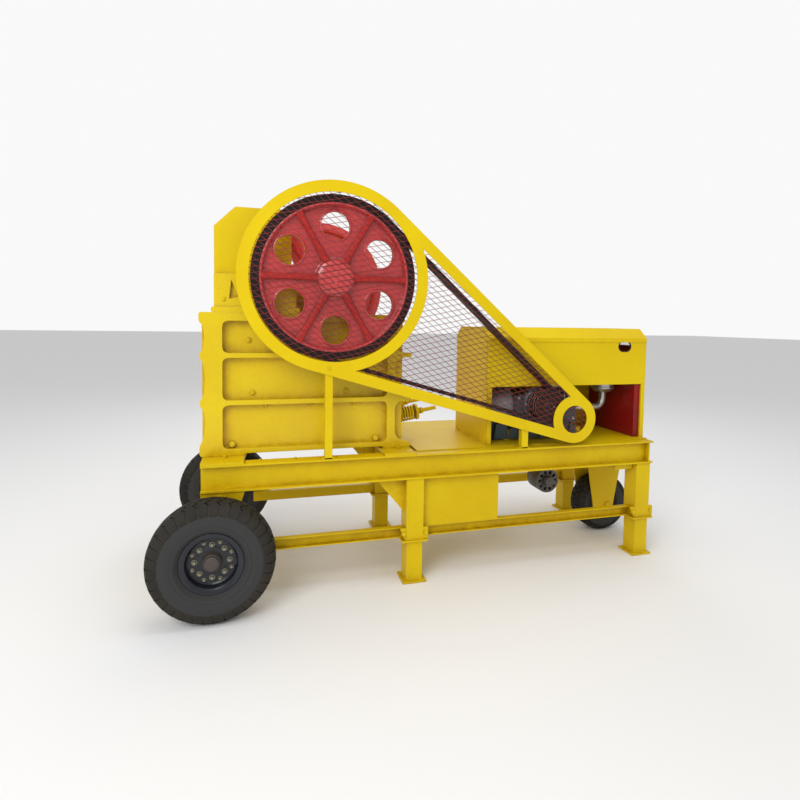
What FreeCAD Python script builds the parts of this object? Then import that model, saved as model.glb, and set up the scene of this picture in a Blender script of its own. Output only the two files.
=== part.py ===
"""A portable jaw crusher: crusher, belt drive and engine on a wheeled frame that stands on four legs.

Every length is in millimetres. The model's X runs along the frame from the crusher to the engine,
Y runs from the belt side to the plain side, and Z is up from the ground. The origin is on the ground,
under the middle of the machine's overall length and width.

In the formulas below, x is measured from the frame's crusher end, y from the outer edge of the
belt-side beam, and z from the ground. The helpers move both to the origin.
"""
import FreeCAD, Part
import math
import os
import re
import Sketcher

DRIVING_DIMENSIONS = {
    # the frame of two long I-beams
    "frame_length": 2700, "frame_width": 940, "deck_height": 730, "beam_depth": 140,
    "beam_flange": 80, "flange_thickness": 10, "web_thickness": 8, "end_channel_flange": 34,
    "cross_beam_width": 70, "deck_start": 1150, "deck_thickness": 6, "deck_far_edge": 885,
    "sole_thickness": 12,
    # the legs, each with a collar where its foot is bolted on
    "mid_leg_x": 1125, "end_leg_inset": 65, "leg_inset": 5, "leg_depth": 110, "upper_leg_width": 100,
    "lower_leg_width": 92, "foot_side": 136, "foot_thickness": 12, "collar_height": 235,
    "collar_side": 150, "collar_thickness": 10, "gusset_reach": 150, "gusset_drop": 200,
    "gusset_thickness": 8,
    # the lower rails and the skirt plates
    "rail_bottom": 246, "rail_height": 60, "rail_width": 34, "rail_wall": 6, "rail_inset": 45,
    "rail_start": 250, "skirt_end": 1650, "skirt_thickness": 6,
    # the front axle and its two road wheels
    "front_axle_x": 65, "tyre_radius": 300, "tyre_width": 165, "tyre_gap": 30, "rim_radius": 130,
    "rim_flange_radius": 151, "rim_width": 116, "rim_wall": 9, "hub_radius": 48, "spindle_radius": 24,
    "spindle_clearance": 0.05, "axle_side": 70, "hanger_top": 300, "hanger_bottom": 130,
    "hanger_width": 60, "rim_disc_offset": 6, "hub_outer_inset": 12, "hub_inner_inset": 4,
    # the single steering wheel under the engine end
    "rear_axle_inset": 50, "rear_tyre_radius": 200, "rear_tyre_width": 150, "rear_rim_radius": 84,
    "rear_rim_flange": 98, "rear_rim_width": 104, "rear_spindle_radius": 18, "fork_gap": 14,
    "fork_plate": 10, "fork_top_width": 296, "fork_bottom_width": 150, "fork_lead": 30,
    # the crusher's cast body
    "crusher_front": -16, "crusher_length": 1103, "crusher_side": 140, "rib_depth": 45,
    "side_wall": 40, "crusher_top": 1501, "top_flange": 44, "upper_rib_height": 1275,
    "lower_rib_height": 1024, "rib_thickness": 26, "foot_flange": 26, "foot_height": 10,
    "front_foot_length": 225, "rear_foot_length": 120, "left_column": 116, "right_column": 46,
    "end_recess": 52, "rib_flare": 45, "shoulder_length": 420, "shoulder_top": 1703,
    "shoulder_thickness": 36, "front_wall_thickness": 56, "front_rib_depth": 40,
    # the feed hopper
    "hopper_front": 59, "hopper_back": 455, "hopper_top": 2055, "hopper_corner": 1951,
    "hopper_chamfer": 106, "hopper_plate": 8,
    # the jaws and what holds them
    "jaw_width": 420, "jaw_plate": 42, "feed_gape": 250, "discharge_gap": 45, "jaw_bottom": 800,
    "jaw_top": 1480, "swing_jaw_width": 424, "swing_boss_radius": 140, "cheek_liner": 30,
    "toggle_height": 880, "toggle_thickness": 28, "rear_block_length": 185, "rear_block_bottom": 925,
    "rear_block_height": 190, "spring_seat_thickness": 22, "rod_offset": 170, "rod_radius": 12,
    "rod_height": 897, "rod_rise": 10, "rod_length": 330, "rod_hole_clearance": 3, "seat_drop": 85,
    "spring_radius": 46, "spring_wire": 12, "spring_length": 108, "spring_seat_gap": 0.4,
    "spring_cap": 14, "jaw_foot": 150,
    # the eccentric shaft and its flywheels
    "shaft_x": 675, "shaft_height": 1690, "shaft_radius": 52, "shaft_seat_radius": 46,
    "bearing_clearance": 0.3, "bearing_radius": 145, "bearing_width": 84, "bearing_gap": 12,
    "flywheel_radius": 430, "wheel_face": 13, "wheel_width": 84, "flywheel_hub_radius": 98,
    "flywheel_rim": 48, "flywheel_web": 22, "flywheel_hole_radius": 76, "flywheel_hole_circle": 275,
    "flywheel_rib": 34, "hub_reach": 20,
    # the belts and the engine pulley
    "belt_width": 20, "belt_height": 20, "belt_pitch": 26, "belt_clearance": 0.3, "groove_depth": 16,
    "pulley_radius": 98, "pulley_x": 1960, "pulley_height": 968, "pulley_shaft_radius": 28,
    "pulley_shaft_length": 96,
    # the belt guard
    "guard_thickness": 5, "guard_band": 60, "guard_ring_clearance": 12, "guard_eye_radius": 84,
    "guard_eye_x": 2123, "guard_eye_height": 890, "mesh_thickness": 3, "mesh_bar": 6,
    "mesh_pitch": 92, "mesh_slope": 38, "mesh_lap": 12, "post_side": 40, "post_wall": 5,
    "post_x": 640, "post_clearance": 24, "short_post_x": 1795, "short_post_top": 862,
    # the engine and its canopy
    "canopy_start": 1590, "canopy_overhang": 4, "canopy_side": 104, "canopy_depth": 506,
    "canopy_top": 1440, "canopy_edge": 1379, "canopy_slope": 68, "canopy_window_top": 1084,
    "canopy_plate": 4, "roof_lip": 26, "corner_post": 28, "hand_hole_inset": 160,
    "hand_hole_height": 1327, "hand_hole_radius": 32, "hand_hole_length": 26,
    "engine_side": 170, "engine_far_gap": 106, "engine_start": 1820, "engine_length": 420,
    "engine_height": 220, "crankcase_radius": 110, "crankcase_reach": 40,
    "crankcase_overlap": 30, "clutch_radius": 125, "clutch_length": 150, "clutch_drop": 20,
    "head_height": 70, "skid_width": 60,
    "skid_height": 64, "skid_inset": 40, "radiator_thickness": 46, "radiator_gap": 22,
    "radiator_headroom": 48,
    "air_cleaner_radius": 78, "air_cleaner_height": 76, "air_cleaner_inset": 150, "air_cleaner_y": 330,
    "pipe_radius": 24, "pipe_height": 905,
    # the alternator that hangs under the engine
    "alternator_x": 2100, "alternator_y": 250, "alternator_height": 442, "alternator_radius": 80,
    "alternator_length": 130, "hanger_plate": 8,
}

# sizes that follow from the driving ones
DERIVED_SIZES = {
    "end_leg_x": "frame_length - end_leg_inset",
    "rear_axle_x": "frame_length - rear_axle_inset",
    "canopy_end": "frame_length + canopy_overhang",
    "hand_hole_x": "frame_length - hand_hole_inset",
    "air_cleaner_x": "frame_length - air_cleaner_inset",
    "guard_ring_radius": "flywheel_radius + guard_ring_clearance",
    "post_top": "shaft_height - flywheel_radius - post_clearance",
    "engine_width": "canopy_side + canopy_depth - canopy_plate - engine_far_gap - engine_side",
}

document = FreeCAD.newDocument("PortableJawCrusher")
sheet = document.addObject("Spreadsheet::Sheet", "Sizes")
for row, (alias, size) in enumerate({**DRIVING_DIMENSIONS, **DERIVED_SIZES}.items(), start=1):
    sheet.set(f"A{row}", alias.replace("_", " "))
    sheet.set(f"B{row}", f"={size}")
    sheet.setAlias(f"B{row}", alias)
document.recompute()

MIDDLE_X = "(front_axle_x - tyre_radius + rear_axle_x + rear_tyre_radius) / 2"
MIDDLE_Y = "frame_width / 2"
BEAM_BOTTOM = "(deck_height - beam_depth)"
CRUSHER_END = "(crusher_front + crusher_length)"
SOLE_TOP = "(deck_height + sole_thickness)"
WALL_OUTSIDE = "(crusher_side + rib_depth)"
WALL_INSIDE = "(crusher_side + rib_depth + side_wall)"
JAW_FACE = "(crusher_front + front_rib_depth + front_wall_thickness + jaw_plate)"
BELT_MIDDLE = "(wheel_face + wheel_width / 2)"

sub_parts = []


def linked(text):
    """Turn the size names in a formula into references to the sheet."""
    return re.sub(r"[a-z]+(?:_[a-z]+)+", lambda name: "Sizes." + name.group(0), text)


def number(text):
    """Return a formula's value."""
    return float(sheet.evalExpression(linked(text)))


def bind(thing, **formulas):
    """Tie properties of an object to formulas."""
    for name, text in formulas.items():
        thing.setExpression(name.replace("__", "."), linked(text))


def place(thing, x, y, z):
    """Tie an object's place to formulas measured from the frame's corner."""
    bind(thing, Placement__Base__x=f"{x} - {MIDDLE_X}", Placement__Base__y=f"{y} - {MIDDLE_Y}",
         Placement__Base__z=z)


def finished(thing, label):
    """Name a finished sub-part and put it on the list that is written out."""
    thing.Label = label
    sub_parts.append(thing)
    return thing


def box(x, y, z, length, width, height):
    """Make a box from its lowest corner and its three sizes."""
    solid = document.addObject("Part::Box", "Block")
    bind(solid, Length=length, Width=width, Height=height)
    place(solid, x, y, z)
    return solid


def turned(axis, angle="0"):
    """Return the rotation that lays a cylinder along X or Y, raised by an angle when along X."""
    if axis == "X":
        return FreeCAD.Rotation(FreeCAD.Vector(0, 1, 0), 90 - number(angle))
    if axis == "Y":
        return FreeCAD.Rotation(FreeCAD.Vector(1, 0, 0), -90)
    return FreeCAD.Rotation()


def rod(x, y, z, radius, length, axis="Z", angle="0"):
    """Make a cylinder that starts at a point and runs along an axis."""
    solid = document.addObject("Part::Cylinder", "Rod")
    solid.Placement = FreeCAD.Placement(FreeCAD.Vector(), turned(axis, angle))
    bind(solid, Radius=radius, Height=length)
    place(solid, x, y, z)
    return solid


def joined(*solids):
    """Join solids that are one piece of metal."""
    fusion = document.addObject("Part::MultiFuse", "Joined")
    fusion.Shapes = list(solids)
    fusion.Refine = True
    return fusion


def without(base, *tools):
    """Cut solids away from a base."""
    cut = document.addObject("Part::Cut", "Trimmed")
    cut.Base = base
    cut.Tool = tools[0] if len(tools) == 1 else joined(*tools)
    cut.Refine = True
    return cut


def group(*solids):
    """Keep like pieces that do not touch together in one sub-part."""
    compound = document.addObject("Part::Compound", "Set")
    compound.Links = list(solids)
    return compound


def new_body(x, y, z):
    """Start a body whose own origin lies at the given place."""
    body = document.addObject("PartDesign::Body", "Body")
    place(body, x, y, z)
    return body


def new_sketch(body, plane, offset="0"):
    """Put a sketch on one of the body's origin planes, moved along +X, +Y or +Z by an offset."""
    sketch = body.newObject("Sketcher::SketchObject", "Outline")
    origin_plane = [item for item in body.Origin.OriginFeatures if item.Role == plane][0]
    sketch.AttachmentSupport = [(origin_plane, "")]
    sketch.MapMode = "FlatFace"
    sign = "-1" if plane == "XZ_Plane" else "1"
    sketch.setExpression("AttachmentOffset.Base.z", linked(f"{sign} * ({offset})"))
    return sketch


def pin_down(sketch, geometry, point, across, up):
    """Fix a sketch point at two formulas measured from the sketch's origin."""
    for kind, text in (("DistanceX", across), ("DistanceY", up)):
        index = sketch.addConstraint(Sketcher.Constraint(kind, -1, 1, geometry, point, number(text)))
        sketch.setExpression(f"Constraints[{index}]", linked(text))


def draw_outline(sketch, corners):
    """Draw a closed outline of straight lines with every corner tied to its formulas."""
    points = [FreeCAD.Vector(number(across), number(up), 0) for across, up in corners]
    first = sketch.GeometryCount
    count = len(corners)
    for index, start in enumerate(points):
        sketch.addGeometry(Part.LineSegment(start, points[(index + 1) % count]), False)
    for index in range(count):
        following = first + (index + 1) % count
        sketch.addConstraint(Sketcher.Constraint("Coincident", first + index, 2, following, 1))
    for index, (across, up) in enumerate(corners):
        pin_down(sketch, first + index, 1, across, up)


def draw_circle(sketch, across, up, radius):
    """Draw a circle with its centre and radius tied to formulas."""
    centre = FreeCAD.Vector(number(across), number(up), 0)
    index = sketch.addGeometry(
        Part.Circle(centre, FreeCAD.Vector(0, 0, 1), number(radius)), False)
    constraint = sketch.addConstraint(Sketcher.Constraint("Radius", index, number(radius)))
    sketch.setExpression(f"Constraints[{constraint}]", linked(radius))
    pin_down(sketch, index, 3, across, up)


def draw_loop(sketch, large, small):
    """Draw the loop that wraps two circles, each given as across, up and radius formulas."""
    (ax, ay, ar), (bx, by, br) = [[number(text) for text in circle] for circle in (large, small)]
    bearing = math.atan2(by - ay, bx - ax)
    swing = math.acos((ar - br) / math.hypot(bx - ax, by - ay))
    up, down = bearing + swing, bearing - swing

    def on_circle(x, y, radius, angle):
        return FreeCAD.Vector(x + radius * math.cos(angle), y + radius * math.sin(angle), 0)

    normal = FreeCAD.Vector(0, 0, 1)
    large_circle = Part.Circle(FreeCAD.Vector(ax, ay, 0), normal, ar)
    small_circle = Part.Circle(FreeCAD.Vector(bx, by, 0), normal, br)
    first = sketch.GeometryCount
    sketch.addGeometry(Part.ArcOfCircle(large_circle, up, down + 2 * math.pi), False)
    sketch.addGeometry(Part.LineSegment(on_circle(ax, ay, ar, down), on_circle(bx, by, br, down)), False)
    sketch.addGeometry(Part.ArcOfCircle(small_circle, down, up), False)
    sketch.addGeometry(Part.LineSegment(on_circle(bx, by, br, up), on_circle(ax, ay, ar, up)), False)
    for before, after, end, start in ((0, 1, 2, 1), (1, 2, 2, 1), (2, 3, 2, 1), (3, 0, 2, 1)):
        sketch.addConstraint(Sketcher.Constraint("Tangent", first + before, end, first + after, start))
    for index, circle in ((first, large), (first + 2, small)):
        constraint = sketch.addConstraint(Sketcher.Constraint("Radius", index, number(circle[2])))
        sketch.setExpression(f"Constraints[{constraint}]", linked(circle[2]))
        pin_down(sketch, index, 3, circle[0], circle[1])


def pad(body, sketch, length):
    """Thicken a sketch towards +X, +Y or +Z."""
    feature = body.newObject("PartDesign::Pad", "Pad")
    feature.Profile = sketch
    feature.Reversed = "XZ_Plane" in sketch.AttachmentSupport[0][0].Role
    bind(feature, Length=length)
    body.Tip = feature
    return feature


def pocket(body, sketch, length):
    """Cut a sketch away towards +X, +Y or +Z."""
    feature = body.newObject("PartDesign::Pocket", "Pocket")
    feature.Profile = sketch
    feature.Reversed = "XZ_Plane" not in sketch.AttachmentSupport[0][0].Role
    bind(feature, Length=length)
    body.Tip = feature
    return feature


def revolve(body, corners):
    """Turn an outline of (along, out) corners about the body's Y axis."""
    sketch = new_sketch(body, "YZ_Plane")
    draw_outline(sketch, corners)
    feature = body.newObject("PartDesign::Revolution", "Revolution")
    feature.Profile = sketch
    feature.ReferenceAxis = (sketch, ["H_Axis"])
    feature.Angle = 360
    body.Tip = feature
    return feature


def around(body, feature, count):
    """Repeat a feature around the body's Y axis."""
    pattern = body.newObject("PartDesign::PolarPattern", "Around")
    pattern.Originals = [feature]
    axis = [item for item in body.Origin.OriginFeatures if item.Role == "Y_Axis"][0]
    pattern.Axis = (axis, [""])
    pattern.Angle = 360
    pattern.Occurrences = count
    body.Tip = pattern
    return pattern


def mirrored_y(y, width):
    """Return the far-side place of a piece that starts at y and is width wide."""
    return f"(frame_width - ({y}) - ({width}))"


# ---------------------------------------------------------------- the frame

def make_beam(label, y):
    """One long I-beam, lying along X."""
    body = new_body("0", y, BEAM_BOTTOM)
    sketch = new_sketch(body, "YZ_Plane")
    web_near = "(beam_flange - web_thickness) / 2"
    web_far = "(beam_flange + web_thickness) / 2"
    upper = "beam_depth - flange_thickness"
    draw_outline(sketch, [
        ("0", "0"), ("beam_flange", "0"), ("beam_flange", "flange_thickness"),
        (web_far, "flange_thickness"), (web_far, upper), ("beam_flange", upper),
        ("beam_flange", "beam_depth"), ("0", "beam_depth"), ("0", upper), (web_near, upper),
        (web_near, "flange_thickness"), ("0", "flange_thickness")])
    pad(body, sketch, "frame_length - end_channel_flange")
    return finished(body, label)


def make_cross_beams():
    """Two beams between the long ones, and the channel that closes the engine end."""
    between = "frame_width - 2 * beam_flange"
    pieces = [box(x, "beam_flange", f"{BEAM_BOTTOM} + flange_thickness", "cross_beam_width", between,
                  "beam_depth - 2 * flange_thickness")
              for x in ("0", "mid_leg_x - cross_beam_width / 2")]
    channel = without(
        box("frame_length - end_channel_flange", "0", BEAM_BOTTOM, "end_channel_flange", "frame_width",
            "beam_depth"),
        box("frame_length - end_channel_flange + web_thickness", "0",
            f"{BEAM_BOTTOM} + flange_thickness", "end_channel_flange", "frame_width",
            "beam_depth - 2 * flange_thickness"))
    return finished(group(*pieces, channel), "cross_beams")


def make_deck():
    """The floor plate between the crusher and the engine end."""
    start_y = "beam_flange / 2 + 20"
    return finished(box("deck_start", start_y, "deck_height", "frame_length - deck_start",
                        f"deck_far_edge - ({start_y})", "deck_thickness"), "deck_plate")


def make_leg(centre_x, y, with_gusset):
    """One leg: upper post, collar, lower post and foot plate, with a gusset at the middle legs."""
    centre_y = f"({y} + leg_depth / 2)"

    def slab(side, bottom, height):
        return box(f"{centre_x} - {side} / 2", f"{centre_y} - {side} / 2", bottom, side, side, height)

    pieces = [
        slab("foot_side", "0", "foot_thickness"),
        box(f"{centre_x} - lower_leg_width / 2", f"{y} + 3", "foot_thickness", "lower_leg_width",
            "leg_depth - 6", "collar_height - foot_thickness"),
        box(f"{centre_x} - collar_side / 2", f"{centre_y} - collar_side / 2 + 8", "collar_height",
            "collar_side", "collar_side - 16", "collar_thickness"),
        box(f"{centre_x} - upper_leg_width / 2", y, "collar_height + collar_thickness",
            "upper_leg_width", "leg_depth", f"{BEAM_BOTTOM} - collar_height - collar_thickness")]
    if with_gusset:
        body = new_body(f"{centre_x} - upper_leg_width / 2", f"{centre_y}", BEAM_BOTTOM)
        sketch = new_sketch(body, "XZ_Plane", "-gusset_thickness / 2")
        draw_outline(sketch, [("0", "0"), ("-gusset_reach", "0"), ("-gusset_reach", "-20"),
                              ("0", "-gusset_drop")])
        pad(body, sketch, "gusset_thickness")
        pieces.append(body)
    return joined(*pieces)


def make_legs(label, centre_x, with_gusset):
    """A pair of legs, one under each long beam."""
    near = make_leg(centre_x, "leg_inset", with_gusset)
    far = make_leg(centre_x, mirrored_y("leg_inset", "leg_depth"), with_gusset)
    return finished(group(near, far), label)


def make_rails():
    """The lower rails: channels with their toes outward, cut where they meet the legs."""
    pieces = []
    spans = (("rail_start", "mid_leg_x - upper_leg_width / 2"),
             ("mid_leg_x + upper_leg_width / 2", "end_leg_x - upper_leg_width / 2"))
    for start, end in spans:
        for far in (False, True):
            y = mirrored_y("rail_inset", "rail_width") if far else "rail_inset"
            hollow_y = f"{y} + rail_wall" if far else y
            length = f"{end} - ({start})"
            pieces.append(without(
                box(start, y, "rail_bottom", length, "rail_width", "rail_height"),
                box(start, hollow_y, "rail_bottom + rail_wall", length,
                    "rail_width - rail_wall", "rail_height - 2 * rail_wall")))
    return finished(group(*pieces), "lower_rails")


def make_skirts():
    """A plate on each side that closes the space between beam and rail behind the middle legs."""
    start = "(mid_leg_x + upper_leg_width / 2)"
    bottom = "(rail_bottom + rail_height)"
    near_y = "rail_inset"
    pieces = [box(start, y, bottom, f"skirt_end - {start}", "skirt_thickness",
                  f"{BEAM_BOTTOM} - {bottom}")
              for y in (near_y, mirrored_y(near_y, "skirt_thickness"))]
    return finished(group(*pieces), "side_skirts")


# ---------------------------------------------------------------- the running gear

def make_axle_hangers():
    """The two tapered hangers that hold the front axle under the beams."""
    pieces = []
    for y in ("(beam_flange - hanger_width) / 2",
              mirrored_y("(beam_flange - hanger_width) / 2", "hanger_width")):
        body = new_body("front_axle_x", y, "tyre_radius")
        sketch = new_sketch(body, "XZ_Plane")
        top = f"{BEAM_BOTTOM} - tyre_radius"
        draw_outline(sketch, [
            ("-hanger_bottom / 2", "axle_side / 2"), ("hanger_bottom / 2", "axle_side / 2"),
            ("hanger_top / 2", top), ("-hanger_bottom / 2", top)])
        pad(body, sketch, "hanger_width")
        pieces.append(body)
    return finished(group(*pieces), "axle_hangers")


def make_front_axle():
    """A square axle with a round spindle at each end."""
    stub = "(tyre_gap + tyre_width / 2 + rim_width / 2)"
    bar = box("front_axle_x - axle_side / 2", "-tyre_gap + 12", "tyre_radius - axle_side / 2",
              "axle_side", "frame_width + 2 * tyre_gap - 24", "axle_side")
    spindle = rod("front_axle_x", f"-{stub}", "tyre_radius", "spindle_radius",
                  f"frame_width + 2 * {stub}", "Y")
    return finished(joined(bar, spindle), "front_axle")


# how far a tyre's shoulder and tread reach, as shares of its radius and half width
SHOULDER = 0.93
TREAD = 0.72


def make_wheel(name, x, y, height, radius, width, rim_radius, flange_radius, rim_width, hub, bore,
               outer_sign):
    """A tyre on a pressed steel rim, both turned about the wheel's axis."""
    half, seat = f"{width} / 2", f"{rim_width} / 2"
    wall = "rim_wall"
    tyre = new_body(x, y, height)
    revolve(tyre, [
        (f"-({seat} - {wall})", rim_radius), (f"{seat} - {wall}", rim_radius),
        (f"{seat} - {wall}", f"{flange_radius}"), (half, f"({flange_radius} + {radius}) / 2"),
        (f"{half} * {SHOULDER}", f"{radius} * {SHOULDER}"), (f"{half} * {TREAD}", radius),
        (f"-{half} * {TREAD}", radius), (f"-{half} * {SHOULDER}", f"{radius} * {SHOULDER}"),
        (f"-{half}", f"({flange_radius} + {radius}) / 2"), (f"-({seat} - {wall})", f"{flange_radius}")])
    finished(tyre, f"{name}_tyre")
    rim = new_body(x, y, height)
    s = outer_sign
    disc_in, disc_out = f"{s} * rim_disc_offset", f"{s} * (rim_disc_offset + {wall})"
    hub_in, hub_out = f"-{s} * ({seat} - hub_inner_inset)", f"{s} * ({seat} - hub_outer_inset)"
    bore_radius = f"{bore} + spindle_clearance"
    revolve(rim, [
        (hub_in, bore_radius), (hub_out, bore_radius), (hub_out, hub), (disc_out, hub),
        (disc_out, f"{rim_radius} - {wall}"), (f"{s} * {seat}", f"{rim_radius} - {wall}"),
        (f"{s} * {seat}", flange_radius), (f"{s} * ({seat} - {wall})", flange_radius),
        (f"{s} * ({seat} - {wall})", rim_radius), (f"-{s} * ({seat} - {wall})", rim_radius),
        (f"-{s} * ({seat} - {wall})", flange_radius), (f"-{s} * {seat}", flange_radius),
        (f"-{s} * {seat}", f"{rim_radius} - {wall}"), (disc_in, f"{rim_radius} - {wall}"),
        (disc_in, hub), (hub_in, hub)])
    finished(rim, f"{name}_rim")


def make_rear_fork():
    """The tapered fork plates, their top plate and the rear spindle."""
    inner = "(rear_tyre_width / 2 + fork_gap)"
    pieces = []
    for y in (f"{MIDDLE_Y} - {inner} - fork_plate", f"{MIDDLE_Y} + {inner}"):
        body = new_body("rear_axle_x", y, "rear_tyre_radius")
        sketch = new_sketch(body, "XZ_Plane")
        top = f"{BEAM_BOTTOM} - rear_tyre_radius"
        draw_outline(sketch, [
            ("-fork_bottom_width / 2 - fork_lead", "-30"), ("fork_bottom_width / 2 - fork_lead", "-30"),
            ("fork_top_width / 2 - fork_lead", top), ("-fork_top_width / 2 - fork_lead", top)])
        pad(body, sketch, "fork_plate")
        pieces.append(body)
    plate_start = "(rear_axle_x - fork_lead - fork_top_width / 2 - 20)"
    leg_room = "(leg_inset + leg_depth + 10)"
    pieces.append(box(plate_start, "beam_flange / 2", f"{BEAM_BOTTOM} - 40",
                      f"end_leg_x - upper_leg_width / 2 - 5 - {plate_start}",
                      "frame_width - beam_flange", "40"))
    pieces.append(box(plate_start, leg_room, f"{BEAM_BOTTOM} - 40", "fork_top_width + 20",
                      f"frame_width - 2 * {leg_room}", "40"))
    pieces.append(rod("rear_axle_x", f"{MIDDLE_Y} - {inner} - fork_plate - 12", "rear_tyre_radius",
                      "rear_spindle_radius", f"2 * ({inner} + fork_plate + 12)", "Y"))
    return finished(joined(*pieces), "rear_fork")


# ---------------------------------------------------------------- the crusher

def make_side_frame(label, far):
    """One cast side of the crusher: a wall with ribs and columns outside, on two feet."""
    def slab(x, y, z, length, width, height):
        return box(x, mirrored_y(y, width) if far else y, z, length, width, height)

    rib_tops = ("upper_rib_height", "lower_rib_height")
    foot_top = f"({SOLE_TOP} + foot_height)"
    pieces = [
        slab("crusher_front + 12", WALL_OUTSIDE, f"{SOLE_TOP}", "crusher_length - 12", "side_wall",
             f"crusher_top - {SOLE_TOP}"),
        slab("crusher_front", "crusher_side", "crusher_top - top_flange", "crusher_length", "rib_depth",
             "top_flange"),
        slab("crusher_front", "crusher_side", foot_top, "crusher_length + rib_flare", "rib_depth",
             "foot_flange"),
        slab("crusher_front + 12", "crusher_side + 3", foot_top, "left_column - 12", "rib_depth - 3",
             f"crusher_top - {foot_top}"),
        slab(f"{CRUSHER_END} - end_recess - right_column", "crusher_side + 3", foot_top,
             "right_column", "rib_depth - 3", f"crusher_top - {foot_top}"),
        slab("crusher_front", "crusher_side", SOLE_TOP, "front_foot_length", "rib_depth",
             "foot_height"),
        slab(f"{CRUSHER_END} - rear_foot_length", "crusher_side", SOLE_TOP,
             "rear_foot_length + rib_flare", "rib_depth", "foot_height"),
        slab("hopper_front", "crusher_side + 10", "crusher_top", "shoulder_length",
             "shoulder_thickness", "shoulder_top - crusher_top")]
    for top in rib_tops:
        pieces.append(slab("crusher_front + 4", "crusher_side", f"{top} - rib_thickness / 2",
                           "crusher_length - 4 + rib_flare", "rib_depth", "rib_thickness"))
    arch = slab("crusher_front + front_foot_length", WALL_OUTSIDE, SOLE_TOP,
                "crusher_length - front_foot_length - rear_foot_length", "side_wall", "foot_height")
    return finished(without(joined(*pieces), arch), label)


def make_soles():
    """The packing plates between the crusher's feet and the beams."""
    pieces = []
    reach = "(crusher_side + rib_depth + side_wall)"
    for x, length in (("0", "crusher_front + front_foot_length"),
                      (f"{CRUSHER_END} - rear_foot_length - 20", "rear_foot_length + rib_flare + 10")):
        for y in ("0", mirrored_y("0", reach)):
            pieces.append(box(x, y, "deck_height", length, reach, "sole_thickness"))
    return finished(group(*pieces), "sole_plates")


def make_front_wall():
    """The cast wall behind the fixed jaw, with ribs across its face."""
    inner_width = f"(frame_width - 2 * {WALL_INSIDE})"
    foot_top = f"({SOLE_TOP} + foot_height)"
    pieces = [box("crusher_front + front_rib_depth", WALL_INSIDE, foot_top, "front_wall_thickness",
                  inner_width, f"crusher_top - {foot_top}")]
    for middle in ("crusher_top - top_flange / 2", "upper_rib_height", "lower_rib_height",
                   f"{foot_top} + rib_thickness / 2"):
        pieces.append(box("crusher_front + 4", WALL_INSIDE, f"{middle} - rib_thickness / 2",
                          "front_rib_depth", inner_width, "rib_thickness"))
    return finished(joined(*pieces), "front_wall")


def make_hopper():
    """The upright plates around the feed mouth."""
    side_y = "(crusher_side + 10 + shoulder_thickness - hopper_plate)"
    cheeks = []
    for y in (side_y, mirrored_y(side_y, "hopper_plate")):
        body = new_body("hopper_front", y, "shoulder_top")
        sketch = new_sketch(body, "XZ_Plane")
        top = "hopper_top - shoulder_top"
        draw_outline(sketch, [
            ("0", "0"), ("hopper_back - hopper_front", "0"), ("hopper_back - hopper_front", top),
            ("hopper_chamfer", top), ("0", "hopper_corner - shoulder_top")])
        pad(body, sketch, "hopper_plate")
        cheeks.append(body)
    finished(group(*cheeks), "hopper_cheeks")
    inside = f"({side_y} + hopper_plate)"
    finished(box("hopper_front", inside, "crusher_top", "hopper_plate", f"frame_width - 2 * {inside}",
                 "hopper_corner - crusher_top"), "hopper_front_plate")


def make_fixed_jaw():
    """The fixed jaw's wear plate."""
    plate_x = "crusher_front + front_rib_depth + front_wall_thickness"
    return finished(box(plate_x, "(frame_width - jaw_width) / 2", "jaw_bottom", "jaw_plate",
                        "jaw_width", "jaw_top - jaw_bottom"), "fixed_jaw_plate")


def make_swing_jaw():
    """The swing jaw, hung from the eccentric shaft, and its wear plate."""
    face_top, face_bottom = f"{JAW_FACE} + feed_gape", f"{JAW_FACE} + discharge_gap"
    back_top, back_bottom = f"{face_top} + jaw_plate", f"{face_bottom} + jaw_plate"
    plate = new_body("0", "(frame_width - jaw_width) / 2", "0")
    sketch = new_sketch(plate, "XZ_Plane")
    draw_outline(sketch, [(face_bottom, "jaw_bottom"), (back_bottom, "jaw_bottom"),
                          (back_top, "jaw_top"), (face_top, "jaw_top")])
    pad(plate, sketch, "jaw_width")
    finished(plate, "swing_jaw_plate")
    jaw = new_body("0", "(frame_width - swing_jaw_width) / 2", "0")
    sketch = new_sketch(jaw, "XZ_Plane")
    draw_outline(sketch, [
        (back_bottom, "jaw_bottom"), (f"{back_bottom} + jaw_foot", "jaw_bottom"),
        ("shaft_x + swing_boss_radius * 0.8", "shaft_height - swing_boss_radius * 0.6"),
        ("shaft_x", "shaft_height"), ("shaft_x - swing_boss_radius", "shaft_height"),
        (f"{back_top} + 12", "jaw_top + 40"), (back_top, "jaw_top")])
    pad(jaw, sketch, "swing_jaw_width")
    sketch = new_sketch(jaw, "XZ_Plane")
    draw_circle(sketch, "shaft_x", "shaft_height", "swing_boss_radius")
    pad(jaw, sketch, "swing_jaw_width")
    sketch = new_sketch(jaw, "XZ_Plane")
    draw_circle(sketch, "shaft_x", "shaft_height", "shaft_radius + bearing_clearance")
    pocket(jaw, sketch, "swing_jaw_width")
    return finished(jaw, "swing_jaw")


def make_cheek_liners():
    """The wear plates on the chamber's two sides."""
    start = "crusher_front + front_rib_depth + front_wall_thickness"
    pieces = [box(start, y, "jaw_bottom", "jaw_plate + feed_gape", "cheek_liner",
                  "jaw_top - jaw_bottom")
              for y in (WALL_INSIDE, mirrored_y(WALL_INSIDE, "cheek_liner"))]
    return finished(group(*pieces), "cheek_liners")


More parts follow.
